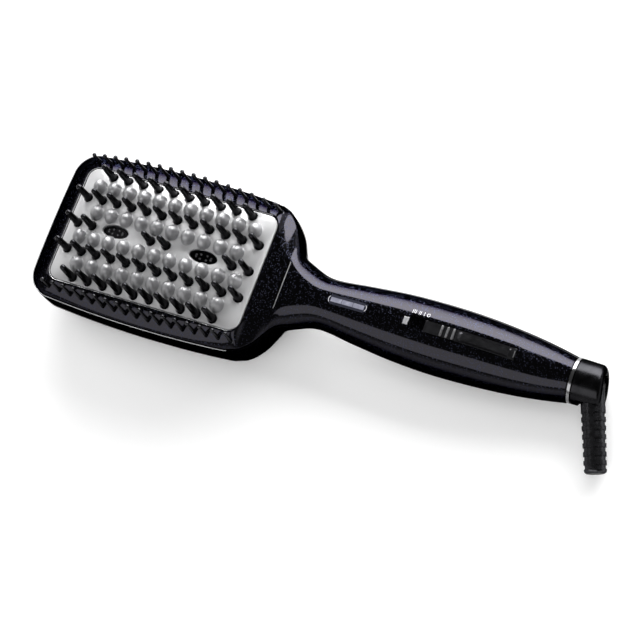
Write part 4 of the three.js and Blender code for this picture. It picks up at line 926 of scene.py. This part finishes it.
bm = bmesh.new()
rim = [rounded_loop(bm, PLATE_HALF[0] - inset, PLATE_HALF[1] - inset, PLATE_HALF[2] - inset,
                    PLATE_TOP + up) for inset, up in ROUND]
stacked(bm, rim)
face_edges = list(rim[-1])
for y, row in PIN_ROWS:
    for x in row:
        rings = [oval_loop(bm, x, y, HOLE + out, HOLE + out, PLATE_TOP + up, 20) for out, up in ROUND]
        stacked(bm, rings)
        face_edges += rings[-1]
for x in ION_PLACES:
    rings = [oval_loop(bm, x, 0, ION_HALF[0] + 0.1 + out, ION_HALF[1] + 0.1 + out, PLATE_TOP + up)
             for out, up in ROUND]
    stacked(bm, rings)
    face_edges += rings[-1]
bmesh.ops.triangle_fill(bm, use_beauty=True, edges=face_edges, normal=(0, 0, 1))
crowned([vert for vert in bm.verts if vert.co.z > PLATE_TOP - 1])
part(bm, "heated_plate_skin", PLATE, "body", ["heated_plate"])

# %% [markdown]
# ## Domes
# The domes keep the hair off the plate. Each is oval, longer across the brush
# than along it. A squeezed ball would meet the plate in a hard line, so a dome
# is a turned half ellipse with a small flare at its foot, drawn to its oval.

# %% Domes
DOME_HALF = (3.25, 3.85, 5.4)  # along, across, height

dome_points = [(1.08, 0.0), (1.04, 0.012), (1.01, 0.05)]
for angle in (6, 16, 27, 38, 49, 60, 70, 80):
    angle = math.radians(angle)
    dome_points.append((math.cos(angle), 0.06 + 0.94 * math.sin(angle)))
dome = bmesh.new()
turned(dome, dome_points + [(0, 1)], 24)
bmesh.ops.scale(dome, vec=DOME_HALF, verts=dome.verts)
bmesh.ops.recalc_face_normals(dome, faces=dome.faces)
bm = bmesh.new()
copied(bm, dome, [at(x, y, PLATE_TOP + 0.01) for y, row in DOME_ROWS for x in row])
crowned(bm.verts)
part(bm, "plate_domes", DOME, "body", [], sharp=60, normals=False)

# %% [markdown]
# ## Satin black of the pins
# The pins are moulded in a heat-proof black plastic. Next to the gloss housing
# they look satin: a soft light line runs down each pin, and a fine grain breaks
# it. A plain black plastic turns grey at glancing angles under lamps that are
# strong enough for this line. So a very dark metal with a low tint is used, as
# on the housing, and only the pieces that are grey get the plain plastic.

# %% Black plastics
def moulded(name, low, high, rough, size, metallic=0.0, tint=0):
    return coat(name, low, high, size, (rough - 0.05, rough + 0.05), size * 0.4, metallic, tint, (0.25, 0.15))


def satin_black(name, low, high, rough, size, tint=0.15):
    """A black whose shine stays low at glancing angles, as the housing's does."""
    return moulded(name, (low, low, low * 1.08), (high, high, high * 1.08), rough, size, 1, tint)


PIN_BLACK = satin_black("pin_black", 0.014, 0.020, 0.18, 4, 0.6)
BRISTLE_BLACK = satin_black("bristle_black", 0.022, 0.032, 0.24, 3, 0.5)
SWITCH_BLACK = satin_black("switch_black", 0.016, 0.024, 0.34, 6)
CAP_BLACK = satin_black("outlet_black", 0.010, 0.014, 0.24, 6)
RUBBER = satin_black("sleeve_rubber", 0.032, 0.042, 0.27, 5, 0.4)
ION_BLACK = satin_black("ion_black", 0.004, 0.006, 0.25, 3)
STUD_GREY = moulded("stud_grey", (0.05, 0.05, 0.055), (0.08, 0.08, 0.085), 0.25, 3)
print("black finishes", len([m for m in bpy.data.materials if "black" in m.name]))

# %% [markdown]
# ## Pins
# There are 50 tapered pins with rounded ends. A row of them is moulded on a bar
# under the plate, so a row is one piece. A cone would end flat, so each pin is
# turned. The middle ones reach a little higher, as the plate's crown does.

# %% Pins
PIN_TOP = PLATE_TOP + 15.4
PIN_RISE = 1.45     # how much higher the middle pins' tops are
PIN_FOOT_Z, PIN_WAIST_Z = 34.7, 40.5
PIN_RADII, PIN_TIP = (1.95, 1.84, 1.42), 1.25  # at the foot, the waist and the tip


def pin_profile(x, y):
    top = PIN_TOP + PIN_RISE * crown_share(x, y)
    heights = (PIN_FOOT_Z, PIN_WAIST_Z, top - PIN_TIP)
    points = [(0, PIN_FOOT_Z)] + list(zip(PIN_RADII, heights))
    for angle in (18, 38, 58, 75):
        angle = math.radians(angle)
        points.append((1.4 * math.cos(angle), top - PIN_TIP + PIN_TIP * math.sin(angle)))
    return points + [(0, top)]


for number, (y, row) in enumerate(PIN_ROWS, 1):
    bm = bmesh.new()
    for x in row:
        pin = bmesh.new()
        turned(pin, pin_profile(x, y), 20)
        bmesh.ops.recalc_face_normals(pin, faces=pin.faces)
        copied(bm, pin, [at(x, y)])
    bar = bmesh.ops.create_cube(bm, size=1)
    for vert in bar["verts"]:
        end_x = max(row) + 2.4 if vert.co.x > 0 else min(row) - 2.4
        vert.co = (end_x, y + vert.co.y * 4.4, PIN_FOOT_Z + vert.co.z * 2)
    part(bm, f"pins_{number}", PIN_BLACK, "body", [f"pin_row_{number}"], normals=False)

# %% [markdown]
# ## Ball-tipped bristles
# Along each long side 17 thin bristles stand in the frame. Each ends in a small
# ball that is kind to the skin, and leans one degree towards the plate. Hair
# strands could stand in for them, but each is a stiff moulded piece with its own
# collar, so each is turned. One side is the other's mirror image.

# %% Ball-tipped bristles
EDGE_ROOT_Z, EDGE_INSET = 34.4, 4.9
EDGE_COUNT, EDGE_PITCH = 17, 6.2
EDGE_FALL, BALL = 4.7, 1.1


def bristle_profile(x):
    """The tops of the row form an arch, lowest at its ends."""
    fall = EDGE_FALL * abs(x / (EDGE_PITCH * (EDGE_COUNT - 1) / 2)) ** 2.5
    ball_z = PLATE_TOP + 12.8 - fall - EDGE_ROOT_Z - BALL
    shaft = [(0, -2.5), (1.05, -2.5), (1.05, 0.4), (0.6, ball_z - 0.95)]
    return shaft + arc(0, ball_z, BALL, -50, 80, 8)[0:8] + [(0, ball_z + BALL)]


lean = Matrix.Rotation(math.radians(1.0), 4, "X")
frame_slope = Matrix.Rotation(math.radians(-34), 3, "X")
for side, name in ((1, "left"), (-1, "right")):
    bm = bmesh.new()
    for i in range(EDGE_COUNT):
        x = (i - (EDGE_COUNT - 1) / 2) * EDGE_PITCH
        bristle = bmesh.new()
        turned(bristle, bristle_profile(x), 14)
        collar = turned(bristle, [(1.0, 0.2), (1.2, 0.18), (1.38, 0.05), (1.5, -0.6)], 14)
        bmesh.ops.rotate(bristle, verts=collar, cent=(0, 0, 0), matrix=frame_slope)
        bmesh.ops.recalc_face_normals(bristle, faces=bristle.faces)
        copied(bm, bristle, [at(x, side_half(x) - EDGE_INSET, EDGE_ROOT_Z) @ lean])
    if side < 0:
        bmesh.ops.scale(bm, vec=(1, -1, 1), verts=bm.verts)
        bmesh.ops.reverse_faces(bm, faces=bm.faces)
    part(bm, f"edge_bristles_{name}_skin", BRISTLE_BLACK, "body", [f"edge_bristles_{name}"],
         normals=False)

# %% [markdown]
# ## Ion outlets
# Two oval inserts sit a little below the plate's face. Each has a rim and a sunk
# floor with small studs, through which the ions leave. Bump could draw the
# studs, but seen so low their tops have to stand up. The ovals are loops that
# are bridged from the hidden wall to the floor, and the studs are copied round.

# %% Ion outlets
ION_TOP = PLATE_TOP - 0.5
ION_LEVELS = [(0.3, -1.2), (0.3, -0.12), (0.42, 0), (0.95, 0), (1.05, -0.1), (1.1, -0.75)]
for x, name in zip(ION_PLACES, ("far", "near")):
    bm = bmesh.new()
    loops = [oval_loop(bm, x, 0, ION_HALF[0] - inset, ION_HALF[1] - inset, ION_TOP + up)
             for inset, up in ION_LEVELS]
    stacked(bm, loops)
    for ends in (loops[-1], loops[0]):
        bmesh.ops.contextual_create(bm, geom=ends)
    stud = bmesh.new()
    turned(stud, [(0.62, 0), (0.55, 0.35), (0.38, 0.55), (0, 0.6)], 12)
    places = []
    for i in range(8):
        angle = (i + 0.5) / 8 * 2 * math.pi
        places.append(at(x + 4.15 * math.cos(angle), 1.25 * math.sin(angle), ION_TOP - 0.75))
    dish_faces = set(bm.faces)
    copied(bm, stud, places)
    for face in bm.faces:
        face.material_index = 0 if face in dish_faces else 1
    crowned(bm.verts)
    outlet = part(bm, f"ion_outlet_{name}_skin", ION_BLACK, "body", [f"ion_outlet_{name}"])
    outlet.data.materials.append(STUD_GREY)

# %% [markdown]
# ## Light window
# A smoked, lavender-grey lens shows three bars, parted by fine dark lines, with
# a bright bracket at each end. A lens let into a cut would need a perfect fit.
# This one is laid on the shell, a hair above it, and so follows its curve with
# no gap. The bars and the brackets lie on it in the same way.

# %% Light window finishes
def plain_gloss(name, low, high, rough, size, metallic=0.0):
    return coat(name, low, high, size, (rough * 0.8, rough * 1.2), size * 2, metallic)


LENS = plain_gloss("lens_smoke", (0.018, 0.019, 0.028), (0.024, 0.025, 0.036), 0.12, 3)
BARS = plain_gloss("lens_bars", (0.17, 0.172, 0.22), (0.24, 0.243, 0.30), 0.25, 2)
PRINT = plain_gloss("mark_white", (0.42, 0.42, 0.44), (0.50, 0.50, 0.52), 0.4, 2)
BRIGHT = plain_gloss("bright_chrome", (0.80, 0.80, 0.82), (0.86, 0.86, 0.87), 0.12, 5, 1.0)
print("gloss finishes", LENS.name, BARS.name, PRINT.name, BRIGHT.name)

# %% [markdown]
# ## Patches that follow the handle
# A flat shape could be pressed onto the handle with Shrinkwrap, but the handle's
# height is known at every place. So a patch is a small grid whose points are
# lifted a little above it, as a band or with round ends.

# %% Patches on the handle
def surface_height(x, y):
    station = handle_station(x - SEAM_X)
    reach = station["side"][1] - GROOVE - RIDGE
    side = max(abs(y) - RIDGE, 0) / reach
    return mix(station["edge_z"] + FRAME_RISE, station["crown_z"], math.sqrt(max(1 - side * side, 0)))


def surface_band(bm, x0, x1, half, lift, rows=8, columns=6):
    """A patch that follows the handle's top, a little above or below it."""
    xs = [mix(x0, x1, i / rows) for i in range(rows + 1)]
    ys = [mix(-half, half, k / columns) for k in range(columns + 1)]
    formed_grid(bm, [[(x, y, surface_height(x, y) + lift) for y in ys] for x in xs])


def surface_pill(bm, half_length, half_width, lift):
    """The same with round ends, round the middle of the light window."""
    turns = [math.radians(mix(4, 90, i / 8)) for i in range(9)]
    ends = [(half_length - half_width + half_width * math.cos(a), half_width * math.sin(a)) for a in turns]
    outline = [(-x, wide) for x, wide in ends]
    outline += [(mix(outline[-1][0], -outline[-1][0], i / 8), half_width) for i in range(1, 8)]
    outline += [(x, wide) for x, wide in reversed(ends)]
    places = []
    for x, wide in outline:
        ys = [mix(-wide, wide, k / 8) for k in range(9)]
        places.append([(LIGHT_X + x, y, surface_height(LIGHT_X + x, y) + lift) for y in ys])
    formed_grid(bm, places)


print("top at the light window", round(surface_height(LIGHT_X, 0), 2), "mm")

# %% [markdown]
# ## Lens, bars and brackets
# The three are separate pieces, because each has a finish of its own. One piece
# with three finishes would do as well, but apart they are easier to change.

# %% Light window
LENS_LIFT, SIGN_LIFT, LENS_DEPTH = 0.04, 0.07, 1.4
BAR_PITCH, BAR_LONG, BAR_HALF = 5.75, 5.56, 1.1
BRACKET_X, BRACKET_RADII, BRACKET_REACH = 7.75, (1.85, 2.15), 48

bm = bmesh.new()
surface_pill(bm, LIGHT_HALF, LIGHT_WIDE, LENS_LIFT)
wall_down(bm, open_edges(bm), lambda x: handle_top(x) - LENS_DEPTH)
part(bm, "light_window", LENS, "body", ["light_guide"])

bm = bmesh.new()
for i in range(3):
    middle = LIGHT_X + (i - 1) * BAR_PITCH
    surface_band(bm, middle - BAR_LONG / 2, middle + BAR_LONG / 2, BAR_HALF, SIGN_LIFT)
part(bm, "light_bars", BARS, "body", [])

bm = bmesh.new()
for end in (1, -1):
    places = []
    for i in range(9):
        angle = math.radians(mix(-BRACKET_REACH, BRACKET_REACH, i / 8))
        row = [(BRACKET_X + r * math.cos(angle), r * math.sin(angle)) for r in BRACKET_RADII]
        row = [(LIGHT_X + end * x, y) for x, y in row]
        places.append([(x, y, surface_height(x, y) + SIGN_LIFT) for x, y in row])
    formed_grid(bm, places)
part(bm, "light_brackets", PRINT, "body", [])

# %% [markdown]
# ## Marker
# A small chip stands in front of the switch, let into the shell. Its pale grey,
# part metal, paints the highlight at the front end of the switch's track. A box
# would stand out of the curved handle at its ends. So a patch of the handle's
# own surface is made, and its edge is pulled down into walls.

# %% Marker
MARKER_GAP = 0.2
x0, x1 = MARKER_X + MARKER_GAP, MARKER_END_X - MARKER_GAP
bm = bmesh.new()
surface_band(bm, x0, x1, MARKER_HALF - MARKER_GAP, 0.05)
top_edges = open_edges(bm)
wall_down(bm, top_edges, lambda x: handle_top((x0 + x1) / 2) - 1.0)
rounded(bm, top_edges, 0.15)
# Painted highlight: the chip's pale grey stands for the light at the front end of the switch's track.
MARKER_HIGHLIGHT_GREY = plain_gloss("marker_painted_highlight", (0.36, 0.36, 0.375), (0.46, 0.46, 0.475), 0.3, 2, 0.4)
part(bm, "switch_marker_skin", MARKER_HIGHLIGHT_GREY, "body", ["switch_marker"])

# %% [markdown]
# ## Slider
# The slider lies in its track almost flush. Three ribs near its front give the
# thumb a hold, and behind them a low panel rises and runs out at the tail. A
# block cut by a boolean would lose the handle's curve, so the slider is a grid
# that follows the handle's top, with the panel in its formula.

# %% Slider
SLIDER_X, SLIDER_END_X = 135.9, 180.3
SLIDER_HALF = SLOT_HALF - 0.3
SLIDER_LIFT, PANEL_LIFT = -0.15, 0.5
PANEL_X, PANEL_END_X, PANEL_HALF = SLIDER_X + 16.6, SLIDER_X + 42.0, SLIDER_HALF - 1.0


def slider_lift(x, y):
    """Height of the slider's face above the handle's top."""
    rise = min((x - PANEL_X) / 2.0, PANEL_END_X - x, (PANEL_HALF - abs(y)) / 0.35, 1)
    return mix(SLIDER_LIFT, PANEL_LIFT, max(rise, 0))


bm = bmesh.new()
xs = sorted(set(along(SLIDER_X, SLIDER_END_X, 0.9)
                + [PANEL_X, PANEL_X + 2.0, PANEL_END_X - 1.0, PANEL_END_X]))
ys = [-SLIDER_HALF, -1.9, -1.55, -0.9, 0, 0.9, 1.55, 1.9, SLIDER_HALF]
formed_grid(bm, [[(x, y, handle_top(x) + slider_lift(x, y)) for y in ys] for x in xs])
outer = open_edges(bm)
wall_down(bm, outer, lambda x: trough_height(x) + 0.2)
rounded(bm, outer, 0.25)
part(bm, "slider_skin", SWITCH_BLACK, "switch", ["slider"])

RIB_X, RIB_PITCH, RIB_WIDE = SLIDER_X + 8.6, 2.9, 1.1
bm = bmesh.new()
for i in range(3):
    x = RIB_X + i * RIB_PITCH
    rib = bmesh.ops.create_cube(bm, size=1)["verts"]
    for vert in rib:
        vert.co = (x + vert.co.x * RIB_WIDE, vert.co.y * (2 * SLIDER_HALF - 0.5),
                   handle_top(x) + (0.7 if vert.co.z > 0 else -0.6))
    rounded(bm, edges_at([vert for vert in rib if vert.co.z > handle_top(x)]), 0.3, 3)
# Grey ribs; the same grey also makes the strip at the tail, which is a painted highlight.
RIB_GREY_AND_HIGHLIGHT = moulded("rib_black", (0.07, 0.07, 0.072), (0.10, 0.10, 0.104), 0.3, 3)
# A thin grey strip at the tail paints the highlight on its raised edge.
surface_band(bm, SLIDER_END_X - 0.8, SLIDER_END_X - 0.4, 1.7, 0.12)  # the tail's raised edge
part(bm, "slider_ribs", RIB_GREY_AND_HIGHLIGHT, "switch", [])

# %% [markdown]
# ## Position marks
# Beside the track stand the plain marks 0, I, II and III in thin white print. An
# image could carry them, but it blurs from near by. Small flat shapes that lie
# on the handle's surface stay sharp.

# %% Position marks
MARK_LONG, MARK_WIDE, MARK_Y, MARK_LIFT = 2.0, 0.28, 5.6, 0.03
MARK_PLACES, ZERO_X = ((129.1, 3), (131.9, 2), (134.0, 1)), 136.1


def stroke(bm, x, y):
    ys = [y - MARK_LONG / 2, y, y + MARK_LONG / 2]
    formed_grid(bm, [[(px, py, surface_height(px, py) + MARK_LIFT) for py in ys]
                     for px in (x - MARK_WIDE / 2, x + MARK_WIDE / 2)])


bm = bmesh.new()
for x, count in MARK_PLACES:
    for i in range(count):
        stroke(bm, x + (i - (count - 1) / 2) * 0.75, MARK_Y)
inner = oval_loop(bm, ZERO_X, MARK_Y, 0.42, MARK_LONG / 2 - 0.32, 0, 24)
outer = oval_loop(bm, ZERO_X, MARK_Y, 0.75, MARK_LONG / 2, 0, 24)
bmesh.ops.bridge_loops(bm, edges=inner + outer)
for vert in bm.verts:
    if abs(vert.co.z) < 1e-6:
        vert.co.z = surface_height(vert.co.x, vert.co.y) + MARK_LIFT
part(bm, "position_marks", PRINT, "body", [])

# %% [markdown]
# ## Ring
# A bright ring closes the handle, and the cord outlet behind it turns about the
# same axis. A torus has no flat band, so the ring is a turned shape with small
# roundings on its edges.

# %% Ring
RING_X, RING_WIDE, RING_RADIUS = 206.7, 1.55, 11.1
ALONG_X = Matrix.Rotation(math.radians(90), 4, "Y")
OUTLET_AXIS = Matrix.Translation((0, 0, AXIS_Z))

ring_edge = [(10.85, 0), (11.05, 0.08), (RING_RADIUS, 0.3)]
ring_points = [(radius, RING_X + x) for radius, x in [(6.4, 0)] + ring_edge]
ring_points += [(radius, RING_X + RING_WIDE - x) for radius, x in reversed([(6.4, 0)] + ring_edge)]
bm = bmesh.new()
ring = turned(bm, ring_points + [(6.4, RING_X)], 72)
bmesh.ops.transform(bm, verts=ring, matrix=OUTLET_AXIS @ ALONG_X)
RING = plain_gloss("ring_metal", (0.16, 0.16, 0.165), (0.20, 0.20, 0.205), 0.16, 5, 1.0)
part(bm, "trim_ring_skin", RING, "body", ["trim_ring"])

# %% [markdown]
# ## Cap of the cord outlet
# The cap turns in the handle's end on a hollow stem. It is turned too, with a
# slanted end, and a slot is cut into it, in which the sleeve tilts. The slot is
# the area that the sleeve sweeps, raised to a block and taken off by a boolean.

# %% Cutting one mesh from another
def cut_from(bm, cutter):
    """The mesh bm less the mesh cutter, by an exact boolean."""
    objects = [bpy.data.objects.new("cut", mesh_of(source, "cut")) for source in (bm, cutter)]
    for obj in objects:
        scene.collection.objects.link(obj)
    modifier = objects[0].modifiers.new("cut", "BOOLEAN")
    modifier.operation = "DIFFERENCE"
    modifier.solver = "EXACT"
    modifier.object = objects[1]
    result = bmesh.new()
    result.from_mesh(objects[0].evaluated_get(bpy.context.evaluated_depsgraph_get()).to_mesh())
    for obj in objects:
        mesh = obj.data
        bpy.data.objects.remove(obj)
        bpy.data.meshes.remove(mesh)
    return result


# %% Cap
CAP_X, CAP_END_X, PIVOT_X, CAP_RADIUS = RING_X + 1.85, 223.5, 215.7, 11
CAP_SLANT = 3.0
STEM_X, FLANGE_X, FLANGE_END_X = 190.0, 199.4, 202.8
OUTLET_TURN = OUTLET_AXIS @ Matrix.Rotation(math.radians(8.2), 4, "X")
SLOT_HEIGHT, SLEEVE_MOST = 11.6, math.radians(80)

cap_points = [(0, PIVOT_X), (3, PIVOT_X), (3, STEM_X), (4.6, STEM_X), (4.6, FLANGE_X), (7.9, FLANGE_X),
              (7.9, FLANGE_END_X), (6, FLANGE_END_X), (6, CAP_X), (10.75, CAP_X), (CAP_RADIUS, CAP_X + 0.25)]
cap_points += arc(7.7, CAP_END_X - 3, 3, 0, 90, 8) + [(0, CAP_END_X)]
bm = bmesh.new()
bmesh.ops.transform(bm, verts=turned(bm, cap_points, 64), matrix=ALONG_X)
for vert in bm.verts:
    forward = max(vert.co.x - CAP_X, 0) / (CAP_END_X - CAP_X)
    vert.co.x -= CAP_SLANT * forward * (vert.co.y + CAP_RADIUS) / (2 * CAP_RADIUS)
bmesh.ops.recalc_face_normals(bm, faces=bm.faces)

reach, out = 6.0, 25.3  # the sleeve's root from the pivot, and the slot's length past it
swing = arc(0, 0, reach, 90, 190, 10)
aside, ahead = math.sin(SLEEVE_MOST), math.cos(SLEEVE_MOST)
swing += [(out * ahead - reach * aside, -reach * ahead - out * aside), (out, -out), (out, reach)]
cutter = bmesh.new()
foot = cutter.faces.new([cutter.verts.new((PIVOT_X + x, y, -SLOT_HEIGHT / 2)) for x, y in swing])
raised = bmesh.ops.extrude_face_region(cutter, geom=[foot])["geom"]
bmesh.ops.translate(cutter, vec=(0, 0, SLOT_HEIGHT),
                    verts=[g for g in raised if isinstance(g, bmesh.types.BMVert)])
bmesh.ops.recalc_face_normals(cutter, faces=cutter.faces)
bm = cut_from(bm, cutter)
bmesh.ops.transform(bm, verts=bm.verts, matrix=OUTLET_TURN)
part(bm, "swivel_cap_skin", CAP_BLACK, "outlet", ["swivel_cap"])

# %% [markdown]
# ## Sleeve
# The sleeve keeps the cord from bending sharply. Rings are cut round it, so that
# it bends. Two narrow strips run over them, one in front and one behind, and
# hold the sleeve together. Grooves in the turned section would run right round,
# so they are cut by a boolean from rings that have lost the strips' width. The
# drum at the root is added after the cut, because a boolean can drop one of two
# shells that cross.

# %% Sleeve
SLEEVE_REST = 70.5
SLEEVE_END, SLEEVE_ROOT, SLEEVE_TIP, TIP_ROUND = 41.0, 5.75, 5.3, 1.6
GROOVE_X, GROOVE_PITCH, GROOVE_WIDE, GROOVE_DEEP = 13, 4, 2, 0.5
STRIP_WIDE = 2

body_points = [(0, 0), (5.6, 0), (SLEEVE_ROOT, GROOVE_X), (SLEEVE_TIP, SLEEVE_END - TIP_ROUND)]
body_points += arc(SLEEVE_TIP - TIP_ROUND, SLEEVE_END - TIP_ROUND, TIP_ROUND, 0, 90, 6)[1:]
bm = bmesh.new()
turned(bm, body_points + [(0, SLEEVE_END)], 48)
rings = bmesh.new()
for i in range(7):
    start = GROOVE_X + GROOVE_PITCH * i
    end = start + GROOVE_WIDE
    share = ((start + end) / 2 - GROOVE_X) / (SLEEVE_END - TIP_ROUND - GROOVE_X)
    low = mix(SLEEVE_ROOT, SLEEVE_TIP, share) - GROOVE_DEEP
    turned(rings, [(low, start), (8, start), (8, end), (low, end), (low, start)], 48)
for mesh in (bm, rings):
    bmesh.ops.transform(mesh, verts=mesh.verts, matrix=ALONG_X)
    bmesh.ops.recalc_face_normals(mesh, faces=mesh.faces)
spine = bmesh.new()
bmesh.ops.create_cube(spine, size=1)
bmesh.ops.scale(spine, vec=(90, STRIP_WIDE, 30), verts=spine.verts)
bm = cut_from(bm, cut_from(rings, spine))
turned(bm, [(0, -5.4), (5.35, -5.4), (5.6, -5.15), (5.6, 5.15), (5.35, 5.4), (0, 5.4)], 48)
bmesh.ops.recalc_face_normals(bm, faces=bm.faces)
sleeve_turn = OUTLET_TURN @ at(PIVOT_X, 0) @ Matrix.Rotation(math.radians(-SLEEVE_REST), 4, "Z")
bmesh.ops.transform(bm, verts=bm.verts, matrix=sleeve_turn)
part(bm, "cord_sleeve_skin", RUBBER, "sleeve", ["cord_sleeve"])

# %% [markdown]
# ## Pivot pin
# A steel pin through the cap carries the sleeve's drum. Only its ends show, so a
# turned rod with small chamfers is enough.

# %% Pivot pin
bm = bmesh.new()
turned(bm, [(0, -8.5), (1.1, -8.5), (1.25, -8.35), (1.25, 8.35), (1.1, 8.5), (0, 8.5)], 24)
bmesh.ops.transform(bm, verts=bm.verts, matrix=OUTLET_TURN @ at(PIVOT_X, 0))
part(bm, "pivot_pin_skin", BRIGHT, "outlet", ["pivot_pin"])

# %% [markdown]
# ## What is inside
# The tray, heaters, board and contacts are hidden by the housing. They could be
# dressed as the outside is, but nobody sees that. They keep their CAD shapes,
# and each kind gets a plain finish of its own, for those who look inside.

# %% Finishes inside
INSIDE = {
    "tray": (moulded("tray_plastic", (0.42, 0.39, 0.33), (0.5, 0.47, 0.4), 0.6, 8), ["insulating_tray"]),
    "steel": (plain_gloss("screw_steel", (0.5, 0.5, 0.52), (0.62, 0.62, 0.64), 0.3, 1, 1.0),
              ["tray_screw_1", "tray_screw_2", "tray_screw_3", "tray_screw_4"]),
    "heater": (satin_metal("heater_foil", (0.6, 0.6, 0.62), (0.7, 0.7, 0.72), 0.9, 0.4, 3),
               ["heater_left", "heater_right"]),
    "ceramic": (moulded("ceramic_white", (0.75, 0.74, 0.7), (0.85, 0.84, 0.8), 0.55, 2),
                ["thermal_fuse", "temperature_sensor"]),
    "board": (moulded("board_green", (0.05, 0.22, 0.11), (0.08, 0.3, 0.16), 0.35, 2), ["circuit_board"]),
    "inner_black": (moulded("inner_black", (0.03, 0.03, 0.034), (0.05, 0.05, 0.055), 0.5, 3),
                    ["switch_body", "ion_generator", "contact_block"]),
    "contact_brass": (plain_gloss("contact_brass", (0.65, 0.5, 0.22), (0.75, 0.58, 0.28), 0.25, 2, 1.0),
                      ["slip_ring_far", "slip_ring_near"]),
}
for slot_name, (material, names) in INSIDE.items():
    for name in names:
        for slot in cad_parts[name].material_slots:
            slot.material = material
print("inner finishes", len(INSIDE))

# %% [markdown]
# ## Floor
# The brush lies on a wide white floor that takes its soft shadow. Lamps alone
# would leave the floor grey in the distance, and more of them would bleach the
# brush. So where the camera or a shine looks at it, the floor also glows, weakly
# round the brush and more with the distance, up to the horizon.

# %% Floor
def floor_material():
    material, tree, shader = new_finish("floor_white")
    shader.inputs["Base Color"].default_value = (0.93, 0.93, 0.93, 1)
    shader.inputs["Roughness"].default_value = 0.9
    shader.inputs["Specular IOR Level"].default_value = 0.1
    ray = add(tree, "ShaderNodeLightPath")
    seen = ray.outputs["Is Camera Ray"]
    for kind in ("Is Glossy Ray", "Is Transmission Ray"):
        seen = add(tree, "ShaderNodeMath", seen, ray.outputs[kind], operation="MAXIMUM").outputs[0]
    away = add(tree, "ShaderNodeVectorMath", object_place(tree), operation="LENGTH").outputs["Value"]
    reach = {"From Min": 0.5, "From Max": 3.0, "To Min": 0.15, "To Max": 0.95}
    level = add(tree, "ShaderNodeMapRange", away, **reach).outputs[0]
    strength = add(tree, "ShaderNodeMath", seen, level, operation="MULTIPLY").outputs[0]
    glow = add(tree, "ShaderNodeEmission")
    tree.links.new(strength, glow.inputs["Strength"])
    both = add(tree, "ShaderNodeAddShader", shader.outputs[0], glow.outputs[0])
    tree.links.new(both.outputs[0], tree.nodes["Material Output"].inputs["Surface"])
    return material


bm = bmesh.new()
bmesh.ops.create_circle(bm, cap_ends=True, radius=6000, segments=64)
floor = part(bm, "floor", floor_material(), "body")
floor.parent = None

# %% [markdown]
# ## Light
# A large softbox stands on the far side of the handle and gives the long clean
# shine on its upper flank. A dimmer one stands on the near side. Black gloss
# needs strong lamps for its shine, and pale surfaces clip under them. So each
# softbox has a twin in its place that is seen in the shine and doesn't light the
# plain colours. An overhead lamp that isn't mirrored evens the plain light out,
# and the room above is dark, which keeps the gloss deep.

# %% World and lamps
def lamp(name, place, target, size, radiance, mirrored=True, plain=True):
    data = bpy.data.lights.new(name, "AREA")
    data.shape = "RECTANGLE"
    data.size, data.size_y = size
    data.energy = radiance * math.pi * size[0] * size[1]
    obj = bpy.data.objects.new(name, data)
    scene.collection.objects.link(obj)
    obj.location = place
    obj.rotation_euler = (Vector(target) - Vector(place)).to_track_quat("-Z", "Y").to_euler()
    obj.visible_glossy = mirrored
    obj.visible_diffuse = plain


world = bpy.data.worlds.new("studio")
scene.world = world
world.use_nodes = True
tree = world.node_tree
view = add(tree, "ShaderNodeTexCoord").outputs["Generated"]
height = add(tree, "ShaderNodeSeparateXYZ", view).outputs["Z"]
sky = ramp(tree, height, [(0.0, 0.95), (0.06, 0.8), (0.2, 0.2), (0.6, 0.14)])
tree.links.new(sky, tree.nodes["Background"].inputs["Color"])

lamp("softbox_far_side", (0.10, 0.56, 0.26), (0.08, 0, 0.02), (1.1, 0.54), 6.5)
lamp("softbox_near_side", (0.00, -0.62, 0.44), (0.02, 0, 0.02), (1.3, 0.5), 1.8)
lamp("shine_far_side", (0.10, 0.562, 0.26), (0.08, 0, 0.02), (1.1, 0.54), 11.0, plain=False)
lamp("shine_near_side", (0.00, -0.622, 0.44), (0.02, 0, 0.02), (1.3, 0.5), 1.2, plain=False)
lamp("softbox_far_end", (-0.70, 0.10, 0.65), (-0.02, 0, 0.04), (0.5, 0.5), 3.0)
lamp("overhead_fill", (0.15, 0.15, 1.6), (0.05, 0, 0), (1.4, 1.4), 0.8, mirrored=False)
print("lamps", len(bpy.data.lights))

# %% [markdown]
# ## Picture settings
# Standard shows the colours as they are written.

# %% Picture settings
scene.view_settings.view_transform = "Standard"
